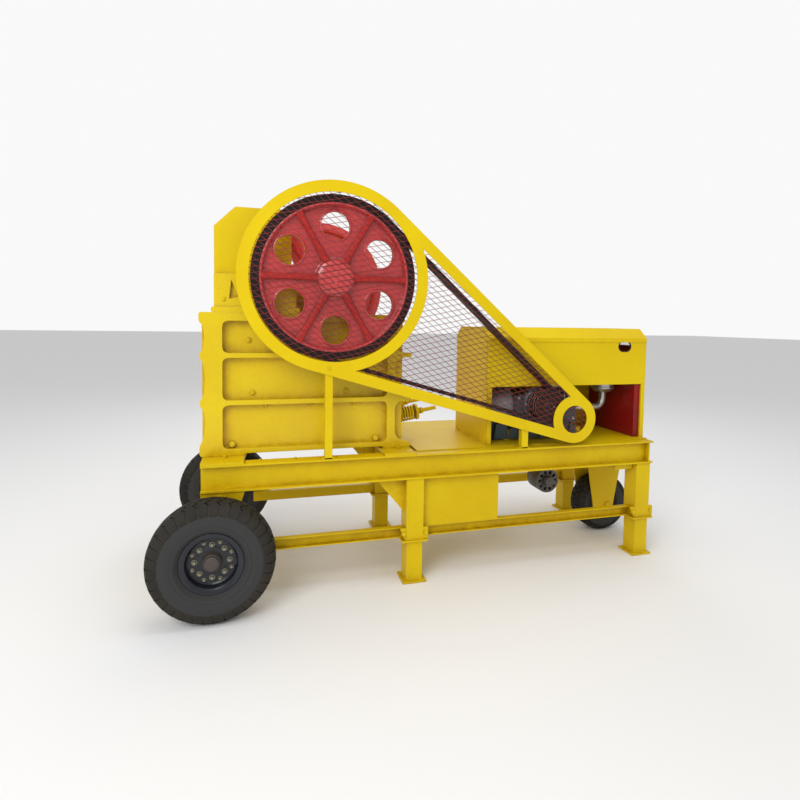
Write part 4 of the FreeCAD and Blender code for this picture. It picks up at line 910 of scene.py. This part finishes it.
@dataclass
class BeltDrive:
    """The belts, the engine pulley, the guard and its wire mesh."""

    shaft: tuple[float, float] = CRUSHER_SHAFT
    pulley: tuple[float, float] = PULLEY_SHAFT
    eye: tuple[float, float] = (2123.0, 890.0)
    ring_radius: float = 442.0
    eye_radius: float = 84.0
    band: float = 60.0
    strands: tuple[tuple[float, float], ...] = ((12.0, 30.0), (-38.0, 27.0))
    wire: float = 2.7

    def build(self) -> None:
        """Build the drive and its guard."""
        dress(BELT_RUBBER, "drive_belts")
        dress(PULLEY_IRON, "engine_pulley")
        dress(SHEET_PAINT, "guard_frame", "guard_posts")
        self.mesh("wheel_wire", "wheel_mesh", self.in_ring)
        self.mesh("belt_wire", "belt_mesh", self.in_window)
        self.pulley_face()
        self.guard_hardware()

    def in_ring(self, x: float, z: float) -> bool:
        """Tell whether a point lies behind the guard's ring."""
        return math.dist((x, z), self.shaft) < self.ring_radius + 12

    def in_window(self, x: float, z: float) -> bool:
        """Tell whether a point lies behind the belt window or the eye."""
        if math.dist((x, z), self.shaft) < self.ring_radius + self.band - 12:
            return False
        if math.dist((x, z), self.eye) < self.eye_radius + 12:
            return True
        run = math.dist(self.shaft, self.eye)
        ahead = ((self.eye[0] - self.shaft[0]) / run, (self.eye[1] - self.shaft[1]) / run)
        along = (x - self.shaft[0]) * ahead[0] + (z - self.shaft[1]) * ahead[1]
        off = abs((x - self.shaft[0]) * -ahead[1] + (z - self.shaft[1]) * ahead[0])
        sine = (self.ring_radius - self.eye_radius) / run
        edge = (self.ring_radius + 12 - along * sine) / math.sqrt(1 - sine * sine)
        return 0 < along < run and off < edge

    def mesh(self, name: str, node: str, inside: Callable[[float, float], bool]) -> None:
        """Stretch a diamond wire mesh over a region.

        Args:
            name: The piece's name.
            node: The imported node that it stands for.
            inside: Tells whether a point of the guard's plane is covered.
        """
        part = Shaper()
        middle, reach, step = (1400.0, 1330.0), 1500.0, 4.0
        for way, (slope, gap) in zip((1, -1), self.strands):
            ahead = (math.cos(math.radians(slope)), math.sin(math.radians(slope)))
            side = (-ahead[1], ahead[0])
            for index in range(-int(reach / gap), int(reach / gap) + 1):
                base = (middle[0] + side[0] * index * gap, middle[1] + side[1] * index * gap)
                begun = None
                for count in range(int(2 * reach / step) + 1):
                    far = -reach + count * step
                    covered = inside(base[0] + ahead[0] * far, base[1] + ahead[1] * far)
                    if covered and begun is None:
                        begun = far
                    if begun is not None and not covered:
                        self.strand(part, base, ahead, side, (begun, far - step), way)
                        begun = None
        part.finish(name, Body.MACHINE, MESH_PAINT, [node])

    def strand(self, part: Shaper, base: Point, ahead: Point, side: Point, span: Point, way: int) -> None:
        """Add one flat strand of mesh.

        Args:
            part: What it is added to.
            base: A point on its line.
            ahead: The line's direction.
            side: The direction across it.
            span: Its start and end along the line.
            way: 1 or -1, which of the two layers it lies in.
        """
        half, low = self.wire / 2, 5.3 if way > 0 else 6.4
        corners = []
        for far, width in ((span[0], half), (span[1], half), (span[1], -half), (span[0], -half)):
            corners.append((base[0] + ahead[0] * far + side[0] * width,
                            base[1] + ahead[1] * far + side[1] * width))
        points = [Vector((x, y, z)) for y in (low, low + 1.5) for x, z in corners]
        part.add(points, [[0, 1, 2, 3], [7, 6, 5, 4], [0, 4, 5, 1], [1, 5, 6, 2], [2, 6, 7, 3], [3, 7, 4, 0]])

    def pulley_face(self) -> None:
        """The pulley's dished face with its bush and screws."""
        part, lips = Shaper(), Shaper()
        x, z = self.pulley
        centre = (x, 13, z)
        part.lathe([(2, 0.01), (-1, 18), (-1, 34), (3, 38), (5, 38), (5, 0.01)], centre, Axis.Y, 48)
        part.spin(3, centre, lambda one: one.bolt((x + 27, 12, z), Axis.Y, 9, -3))
        part.finish("pulley_bush", Body.ENGINE_DRIVE, PULLEY_IRON)
        for along in (0, 27, 53, 80):
            lips.lathe([(along, 96), (along, 98.6), (along + 3.5, 98.6), (along + 3.5, 96)], centre, Axis.Y,
                       72)
        lips.finish("pulley_lips", Body.ENGINE_DRIVE, TURNED_STEEL)

    def guard_hardware(self) -> None:
        """Mesh clips, guard bolts, post feet and their welds."""
        clips, bolts = Shaper(), Shaper()
        for centre, radius, count in ((self.shaft, self.ring_radius + 26, 14),
                                      (self.eye, self.eye_radius + 22, 6)):
            for index in range(count):
                angle = 2 * math.pi * (index + 0.5) / count
                x, z = centre[0] + radius * math.cos(angle), centre[1] + radius * math.sin(angle)
                clips.lathe([(5, 0.01), (5, 10), (8, 9), (8, 0.01)], (x, 0, z), Axis.Y, 12)
        for x, top in ((640, 1236), (1795, 862)):
            bolts.bolt((x, 0.5, top - 22), Axis.Y, 13, -5)
            clips.block((x - 34, 5, 730), (x + 34, 60, 736))
            clips.bead((x - 19, 7, 738), (x + 19, 7, 738), 2.5)
        clips.finish("guard_clips", Body.MACHINE, SHEET_PAINT)
        bolts.finish("guard_bolts", Body.MACHINE, SHEET_PAINT)


CARCASS = ((0.12, 0.90), (0.2, 0.95), (0.23, 0.93), (0.27, 0.965), (0.44, 0.99), (0.47, 0.975), (0.51, 0.985),
           (0.62, 0.96), (0.78, 0.88), (0.89, 0.72), (0.935, 0.45))
TREAD_ROWS = ((0.03, 1.0, 0.0), (0.28, 0.999, 0.36), (0.5, 0.99, 0.0), (0.72, 0.965, 0.25),
              (0.87, 0.925, 0.25), (0.96, 0.875, 0.25), (0.992, 0.82, 0.25))
TREAD_DEPTH = 0.045


@dataclass
class WheelSizes:
    """Where one wheel is and how large its parts are."""

    name: str
    body: Body
    centre: tuple[float, float, float]
    radius: float
    width: float
    rim: float
    flange: float
    rim_width: float
    hub: float
    cap: float
    bolts: int
    blocks: int
    outer: int


@dataclass
class Wheel:
    """A tyre with cut tread blocks on a dished steel rim."""

    size: WheelSizes

    def build(self) -> None:
        """Build the tyre, rim, bolts and hub."""
        self.tyre()
        self.rim()

    def tyre(self) -> None:
        """The carcass with ringed sidewalls and a rounded shoulder, and its tread blocks."""
        s, part, tread = self.size, Shaper(), Shaper()
        half, section, seat = s.width / 2, s.radius - s.flange, s.rim_width / 2 - 9
        wall = [(seat, s.rim), (seat, s.flange - 4), (seat + 7, s.flange + 2)]
        for share, out in CARCASS:
            wall.append((half * out, s.flange + section * share))
        profile = [*wall, *[(-out, level) for out, level in reversed(wall)]]
        part.lathe(profile, s.centre, Axis.Y, 96)
        tread.spin(s.blocks, s.centre, lambda one: self.tread(one, -1))
        tread.spin(s.blocks, s.centre, lambda one: self.tread(one, 1), 180 / s.blocks)
        part.finish(f"{s.name}_carcass", s.body, TYRE_RUBBER, [f"{s.name}_tyre"], smooth=28)
        tread.finish(f"{s.name}_tread", s.body, TREAD_RUBBER, smooth=28)

    def tread(self, part: Shaper, way: int) -> None:
        """Add one zigzag block that wraps over the shoulder.

        Args:
            part: What it is added to.
            way: -1 for the low-Y side, 1 for the high-Y side.
        """
        s, half = self.size, self.size.width / 2
        pitch = 2 * math.pi / s.blocks
        points = []
        for sink in (TREAD_DEPTH, 0.0):
            for out, share, lean in TREAD_ROWS:
                for edge in (-0.42, 0.42):
                    turn = pitch * (edge + lean)
                    radius = s.radius * (share - sink)
                    reach = half * out * (1.0 - sink)
                    points.append(Vector((s.centre[0] + radius * math.sin(turn), s.centre[1] + way * reach,
                                          s.centre[2] + radius * math.cos(turn))))
        count = len(TREAD_ROWS)
        top = 2 * count
        faces = []
        for row in range(count - 1):
            a, b = 2 * row, 2 * row + 2
            faces += [[a, a + 1, b + 1, b], [top + a, top + b, top + b + 1, top + a + 1],
                      [a, b, top + b, top + a], [a + 1, top + a + 1, top + b + 1, b + 1]]
        end = 2 * (count - 1)
        faces += [[0, top, top + 1, 1], [end, end + 1, top + end + 1, top + end]]
        part.add(points, faces)

    def rim(self) -> None:
        """The dished rim with its lips, hub and two rings of bolts."""
        s, part, bolts, hub = self.size, Shaper(), Shaper(), Shaper()
        way, half, wall = s.outer, s.rim_width / 2, 9.0
        cx, cy, cz = s.centre
        dish = [(half - wall, s.flange - 3), (half - 4, s.flange), (half, s.flange - 3),
                (half - 2, s.rim + 6), (half - 10, s.rim - 8), (20, s.rim - 14), (14, s.rim - 22),
                (12, s.hub + 4), (4, s.hub + 4), (4, s.rim - 18), (-half, s.rim - wall),
                (-half, s.flange), (wall - half, s.flange), (wall - half, s.rim - 1),
                (half - wall, s.rim - 1)]
        part.lathe([(way * along, radius) for along, radius in dish], s.centre, Axis.Y, 72)
        part.lathe([(way * 10, s.hub - 2), (way * 10, s.hub + 24), (way * 16, s.hub + 22),
                    (way * 18, s.hub)], s.centre, Axis.Y, 48)
        reach = half - 12
        bore = 18.2 if s.hub < 40 else 24.2
        hub.lathe([(way * 8, bore), (way * 8, s.hub + 4), (way * 22, s.hub),
                   (way * (reach - 14), s.hub * 0.92), (way * reach, s.hub * 0.86), (way * reach, bore)],
                  s.centre, Axis.Y, 48)
        if s.cap:
            hub.lathe([(way * s.cap, 0.01), (way * s.cap, s.hub * 0.5), (way * (s.cap - 4), s.hub * 0.72),
                       (way * (reach - 3), s.hub * 0.8), (way * (reach - 3), bore), (way * (s.cap - 3), bore),
                       (way * (s.cap - 3), 0.01)], s.centre, Axis.Y, 48)
        hub.lathe([(way * -8, bore), (way * -8, s.hub), (way * -(half - 6), s.hub),
                   (way * -(half - 6), bore)], s.centre, Axis.Y, 48)
        face = cy + way * 14
        inner, outer = s.hub + (s.rim - s.hub) * 0.4, s.hub + (s.rim - s.hub) * 0.6
        pairs = ((inner, 19.0, 0.0), (outer, 14.0, 180 / s.bolts)) if s.bolts > 6 else ((inner, 13.0, 0.0),)
        for radius, size, start in pairs:
            bolts.spin(s.bolts, s.centre, lambda one, r=radius, d=size: one.bolt(
                (cx + r, face, cz), Axis.Y, d, way * d * 0.8), start)
        part.finish(f"{s.name}_rim_dish", s.body, RIM_PAINT, [f"{s.name}_rim"], bevel=1.2)
        bolts.finish(f"{s.name}_nuts", s.body, BOLT_ZINC)
        hub.finish(f"{s.name}_hub", s.body, HUB_RUST, bevel=1.5)


@dataclass
class Engine:
    """The diesel engine under the canopy, and the alternator hung below the deck."""

    side: float = 170.0
    width: float = 330.0
    start: float = 1820.0
    length: float = 420.0
    pulley: tuple[float, float] = PULLEY_SHAFT

    def build(self) -> None:
        """Build every engine piece."""
        dress(FRAME_PAINT, "engine_skids", "alternator_hanger")
        self.block()
        self.head()
        self.clutch()
        self.radiator()
        self.air_cleaner()
        self.alternator()

    def block(self) -> None:
        """The crankcase with ribs, sump, side covers and injection pump."""
        part, extras = Shaper(), Shaper()
        x0, x1, y0, y1 = self.start, self.start + self.length, self.side, self.side + self.width
        part.prism(rounded(rectangle((x0, 840), (x1, 1020)), 14), y0, y1, Axis.Y)
        sump = rounded([(x0 + 30, 800), (x1 - 30, 800), (x1 - 6, 846), (x0 + 6, 846)], 10)
        part.prism(sump, y0 + 14, y1 - 14, Axis.Y)
        shaft = (self.pulley[0], y0 - 40, self.pulley[1])
        part.lathe([(0, 32), (0, 96), (8, 108), (44, 110), (44, 32)], shaft, Axis.Y, 56)
        for x in range(int(x0) + 36, int(x1) - 20, 62):
            if abs(x - shaft[0]) > 96:
                part.block((x, y0 - 9, 850), (x + 10, y0 + 2, 1010))
        part.block((x1 - 150, y0 - 26, 866), (x1 - 40, y0 + 4, 936))
        part.drum((x1 - 140, y0 - 22, 952), 17, 104, Axis.X, 20)
        for x in (x1 - 128, x1 - 98, x1 - 68):
            extras.tube([(x, y0 - 22, 966), (x, y0 - 26, 1000), (x + 4, y0 - 2, 1040),
                         (x + 4, y0 + 30, 1062)], 4, 8)
        part.block((1655, 240, 742), (x0 + 2, 430, 860))
        part.prism([(1690, 742), (1790, 742), (1776, 838), (1704, 838)], 206, 242, Axis.Y)
        part.block((x0 - 30, y0 + 22, 744), (x1 + 20, y0 + 34, 812))
        for x in (1850, 1990, 2120, 2200):
            part.prism([(x, 744), (x + 26, 744), (x + 20, 836), (x + 6, 836)], y0 + 4, y0 + 26, Axis.Y)
        part.finish("crankcase", Body.MACHINE, ENGINE_PAINT, ["engine_block"], bevel=3)
        extras.spin(8, shaft, lambda one: one.bolt((shaft[0] + 92, y0 - 38, shaft[2]), Axis.Y, 14, -6))
        for x in (x0 + 20, x1 - 20):
            for z in (866, 1000):
                extras.bolt((x, y0, z), Axis.Y, 14, -7)
        extras.finish("engine_fittings", Body.MACHINE, CAST_ALUMINIUM)

    def head(self) -> None:
        """The cylinder head with three thin fins round it, and its rocker covers."""
        part, covers = Shaper(), Shaper()
        x0, x1, y0, y1 = 2080, 2227, self.side + 40, self.side + 290
        part.block((x0, y0, 1020), (x1, y1, 1058))
        for z in (1026, 1038, 1050):
            part.block((x0 - 5, y0 - 5, z), (x1 + 5, y1 + 5, z + 4))
        covers.prism(rounded(rectangle((x0 + 10, y0 + 24), (x1 - 10, y1 - 24)), 22), 1056, 1086, Axis.Z)
        covers.prism(rounded(rectangle((x0 + 22, y0 + 36), (x1 - 22, y1 - 36)), 18), 1085, 1090, Axis.Z)
        for x in (x0 + 36, x1 - 36):
            covers.bolt((x, (y0 + y1) / 2, 1089), Axis.Z, 16, 1)
        part.finish("head_block", Body.MACHINE, ENGINE_PAINT, ["cylinder_head"], bevel=2)
        covers.finish("rocker_cover", Body.MACHINE, CAST_ALUMINIUM, bevel=3)

    def clutch(self) -> None:
        """The round clutch housing with its ring of bolts and flared cone."""
        part, bolts = Shaper(), Shaper()
        centre = (1670, self.side + self.width / 2, 948)
        part.lathe([(0, 0.01), (0, 70), (10, 84), (52, 92), (96, 112), (128, 120), (132, 125), (150, 125),
                    (150, 0.01)], centre, Axis.X, 64)
        for index in range(12):
            angle = math.pi * index / 6
            y, z = centre[1] + 104 * math.cos(angle), centre[2] + 104 * math.sin(angle)
            bolts.bolt((1802, y, z), Axis.X, 14, -8)
        bolts.lathe([(-1, 0.01), (-1, 34), (3, 38), (3, 0.01)], centre, Axis.X, 32)
        part.finish("clutch_bell", Body.MACHINE, DISC_GREY, ["clutch_housing"], bevel=2)
        bolts.finish("clutch_bolts", Body.MACHINE, CAST_ALUMINIUM)

    def radiator(self) -> None:
        """The red radiator shroud around its black finned core."""
        part, core = Shaper(), Shaper()
        low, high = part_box("radiator")
        back = TO_MODEL.inverted()
        low, high = back @ Vector(low), back @ Vector(high)
        frame_edge = rectangle((low.y, low.z), (high.y, high.z))
        gap = rounded(rectangle((low.y + 46, low.z + 60), (high.y - 46, high.z - 60)), 20)
        part.prism(rounded(frame_edge, 8), low.x, low.x + 3, Axis.X)
        part.prism(rounded(frame_edge, 8), low.x + 2, high.x - 2, Axis.X, [gap])
        part.prism(rounded(rectangle((low.y + 60, high.z - 56), (high.y - 60, high.z - 6)), 16),
                   low.x + 6, high.x, Axis.X)
        for index in range(26):
            z = low.z + 68 + index * (high.z - low.z - 136) / 25
            core.block((low.x + 8, low.y + 44, z), (high.x - 8, high.y - 44, z + 2.2))
        for index in range(13):
            y = low.y + 60 + index * (high.y - low.y - 120) / 12
            core.block((low.x + 10, y - 2, low.z + 58), (high.x - 10, y + 2, high.z - 58))
        part.finish("radiator_shroud", Body.MACHINE, RADIATOR_PAINT, ["radiator"], bevel=1.5)
        core.finish("radiator_core", Body.MACHINE, CORE_BLACK)

    def air_cleaner(self) -> None:
        """The spun air cleaner bowl with its bent pipe and clips."""
        part = Shaper()
        part.lathe([(0, 0.01), (0, 40), (8, 58), (22, 70), (26, 78), (38, 78), (40, 75), (58, 75), (60, 78),
                    (72, 78), (76, 70), (76, 0.01)], (2550, 330, 1008), Axis.Z, 48)
        path = [(2550, 330, 1012), (2550, 330, 965)]
        for step in range(1, 9):
            angle = math.pi / 2 * step / 8
            path.append((2550 - 42 * (1 - math.cos(angle)), 330, 965 - 42 * math.sin(angle) - 18 * step / 8))
        path += [(2440, 330, 905), (2236, 330, 905)]
        part.tube(path, 22, 24)
        for x in (2262, 2440):
            part.lathe([(0, 22), (0, 25), (12, 25), (12, 22)], (x, 330, 905), Axis.X, 32)
        part.lathe([(0, 22), (0, 25), (12, 25), (12, 22)], (2550, 330, 985), Axis.Z, 32)
        part.finish("air_cleaner_bowl", Body.MACHINE, CAST_ALUMINIUM, ["air_cleaner"], bevel=1)

    def alternator(self) -> None:
        """The alternator with vented end frames, a fan and a grooved pulley."""
        shell, vents = Shaper(), Shaper()
        x, y, z = centre = (2100, 250, 442)
        shell.lathe([(20, 0.01), (20, 77), (24, 79.5), (62, 79.5), (66, 74), (70, 74), (74, 79.5),
                     (112, 79.5), (112, 0.01)], centre, Axis.Y, 56)
        shell.finish("alternator_shell", Body.MACHINE, SHELL_GREY, ["alternator"])
        for near, far in ((0, 22), (110, 130)):
            holes = [[(x + r * math.cos(a + d), z + r * math.sin(a + d)) for r, d in
                      ((44, -0.17), (66, -0.15), (66, 0.15), (44, 0.17))]
                     for a in (math.pi * i / 5 for i in range(10))]
            vents.prism(ring((x, z), 78.5, 60), y + near, y + far, Axis.Y, holes)
        vents.lathe([(-34, 0.01), (-34, 30), (-30, 33), (-22, 33), (-18, 24), (-12, 33), (-4, 33), (2, 28),
                     (2, 0.01)], centre, Axis.Y, 40)
        vents.spin(12, centre, lambda one: one.block((x + 24, y - 4, z - 2), (x + 60, y + 0.5, z + 1)))
        vents.bolt((x, y - 34, z), Axis.Y, 20, -0.1)
        vents.finish("alternator_frames", Body.MACHINE, SHELL_GREY)
        arm = Shaper()
        slot = rounded(rectangle((2190, 470), (2200, 690)), 5, 3)
        arm.prism(rounded(rectangle((2182, 452), (2208, 726)), 10), 374, 380, Axis.Y, [slot])
        arm.bolt((2195, 374, 500), Axis.Y, 15, -8)
        arm.finish("alternator_arm", Body.MACHINE, SHEET_PAINT, bevel=1)


@dataclass
class Canopy:
    """The folded sheet canopy over the engine."""

    start: float = 1590.0
    end: float = 2704.0
    near: float = 104.0
    edge: float = 1379.0
    window: float = 1084.0
    hole: tuple[float, float] = (2540.0, 1327.0)

    def build(self) -> None:
        """Build the canopy's trim around its packed sheets."""
        dress(SHEET_PAINT, "canopy_roof", "canopy_near_panel", "canopy_far_panel", "canopy_end_panel",
              "canopy_posts")
        self.hand_hole()
        self.folds()
        self.rivets()

    def stadium(self, radius: float) -> list[tuple[float, float]]:
        """Return the hand hole's outline at a given end radius."""
        out = []
        for index in range(32):
            angle = 2 * math.pi * (index + 0.5) / 32
            shift = 13 if math.cos(angle) > 0 else -13
            out.append((self.hole[0] + shift + radius * math.cos(angle),
                        self.hole[1] + radius * math.sin(angle)))
        return out

    def hand_hole(self) -> None:
        """A ring round the hand hole, painted near-black as the shade inside the hole."""
        # Painted shade: the ring is near-black so the hole's edge reads as the shaded inside of the canopy.
        part = Shaper()
        part.prism(self.stadium(35), self.near - 2, self.near + 6, Axis.Y, [self.stadium(29)])
        part.finish("hand_hole_shade_ring", Body.MACHINE, HOLE_EDGE_SHADE, bevel=1.2)

    def folds(self) -> None:
        """Folded stiffening edges along the sheets."""
        part = Shaper()
        part.block((self.start, self.near + 3, self.window), (self.end, self.near + 18, self.window + 3))
        part.block((self.start, self.near + 3, self.window), (self.start + 3, self.near + 18, self.edge - 4))
        part.block((self.end - 3, self.near + 3, self.window), (self.end, self.near + 18, self.edge - 4))
        part.block((self.start + 4, self.near + 4, 738), (self.start + 18, self.near + 7, self.window))
        part.finish("canopy_folds", Body.MACHINE, SHEET_PAINT, bevel=0.8)

    def rivets(self) -> None:
        """Dome rivets along the roof's lip."""
        part = Shaper()
        dome = [(0, 0.01), (0, 5), (-1.6, 4), (-2.6, 0.01)]
        for index in range(15):
            x = self.start + 30 + index * (self.end - self.start - 60) / 14
            part.lathe(dome, (x, self.near - 3, 1363), Axis.Y, 10)
        part.finish("roof_rivets", Body.MACHINE, SHEET_PAINT)


@dataclass
class Studio:
    """The floor, the lights and the camera."""

    lens: float = 23.84505
    sensor: float = 36.0
    shift: tuple[float, float] = (-0.0085375, -0.060325)
    yaw: float = -0.2751
    pitch: float = -0.0569
    roll: float = 0.0147
    eye: tuple[float, float, float] = (277.1, -2779.1, 1466.3)

    def build(self) -> None:
        """Set the whole studio up."""
        self.floor()
        self.lights()
        self.camera()
        bpy.context.scene.view_settings.view_transform = "Standard"

    def floor(self) -> None:
        """A wide, plain, pale floor just under the feet."""
        mesh = bpy.data.meshes.new("floor")
        mesh.from_pydata([(-60, -60, -0.001), (60, -60, -0.001), (60, 60, -0.001), (-60, 60, -0.001)], [],
                         [[0, 1, 2, 3]])
        made = bpy.data.objects.new("floor", mesh)
        bpy.context.scene.collection.objects.link(made)
        paint = bpy.data.materials.new("floor_white")
        paint.use_nodes = True
        shader = paint.node_tree.nodes["Principled BSDF"]
        shader.inputs["Base Color"].default_value = (0.95, 0.95, 0.95, 1.0)
        shader.inputs["Roughness"].default_value = 0.85
        mesh.materials.append(paint)

    def lights(self) -> None:
        """Soft light from above and from the viewer's side, in a white room."""
        world = bpy.data.worlds.new("white_room")
        world.use_nodes = True
        tree = world.node_tree
        glow, strength = tree.nodes["Background"], tree.nodes.new("ShaderNodeMapRange")
        glow.inputs[0].default_value = (1.0, 1.0, 1.0, 1.0)
        strength.inputs["To Min"].default_value, strength.inputs["To Max"].default_value = 0.6, 0.95
        seen = tree.nodes.new("ShaderNodeLightPath").outputs["Is Camera Ray"]
        tree.links.new(seen, strength.inputs["Value"])
        tree.links.new(strength.outputs[0], glow.inputs[1])
        bpy.context.scene.world = world
        for name, spot, size, watts in (("key", (-3.4, -4.6, 4.2), 3.0, 150.0),
                                        ("back", (1.5, 5.0, 4.5), 3.5, 60.0),
                                        ("top", (0.0, -0.5, 5.5), 3.5, 60.0)):
            data = bpy.data.lights.new(name, "AREA")
            data.size, data.energy = size, watts
            lamp = bpy.data.objects.new(name, data)
            lamp.location = spot
            lamp.rotation_euler = (Vector((0, 0, 1.0)) - Vector(spot)).to_track_quat("-Z", "Y").to_euler()
            bpy.context.scene.collection.objects.link(lamp)

    def camera(self) -> None:
        """Put the camera at its viewing place, turned by its yaw, pitch and roll."""
        data = bpy.data.cameras.new("view")
        data.sensor_width, data.lens = self.sensor, self.lens
        data.shift_x, data.shift_y = self.shift
        ahead = Vector((-math.sin(self.yaw) * math.cos(self.pitch), math.cos(self.yaw) * math.cos(self.pitch),
                        math.sin(self.pitch)))
        right = Vector((math.cos(self.yaw), math.sin(self.yaw), 0.0))
        up = right.cross(ahead)
        turn, lean = math.cos(self.roll), math.sin(self.roll)
        right, up = right * turn + up * lean, up * turn - right * lean
        view = bpy.data.objects.new("view", data)
        view.matrix_world = Matrix.Translation(TO_MODEL @ Vector(self.eye)) @ Matrix(
            (right, up, -ahead)).transposed().to_4x4()
        bpy.context.scene.collection.objects.link(view)
        bpy.context.scene.camera = view


def wheels() -> list[Wheel]:
    """Return the machine's three wheels."""
    road = dict(radius=300.0, width=165.0, rim=130.0, flange=151.0, rim_width=116.0, hub=48.0, cap=62.0,
                bolts=8, blocks=34)
    small = dict(radius=200.0, width=150.0, rim=84.0, flange=98.0, rim_width=104.0, hub=34.0, cap=0.0,
                 bolts=5, blocks=28)
    return [Wheel(WheelSizes("near_wheel", Body.NEAR_WHEEL, (65.0, -112.5, 300.0), outer=-1, **road)),
            Wheel(WheelSizes("far_wheel", Body.FAR_WHEEL, (65.0, 1052.5, 300.0), outer=1, **road)),
            Wheel(WheelSizes("rear_wheel", Body.REAR_WHEEL, (2650.0, 470.0, 200.0), outer=-1, **small))]


def main() -> None:
    """Build the studio, then every sub-assembly."""
    logging.basicConfig(level=logging.INFO, format="%(message)s")
    Studio().build()
    for assembly in (Chassis(), CrusherBody(), Flywheels(), BeltDrive(), Engine(), Canopy(), *wheels()):
        assembly.build()
    bpy.context.view_layer.update()


if __name__ == "__main__":
    main()
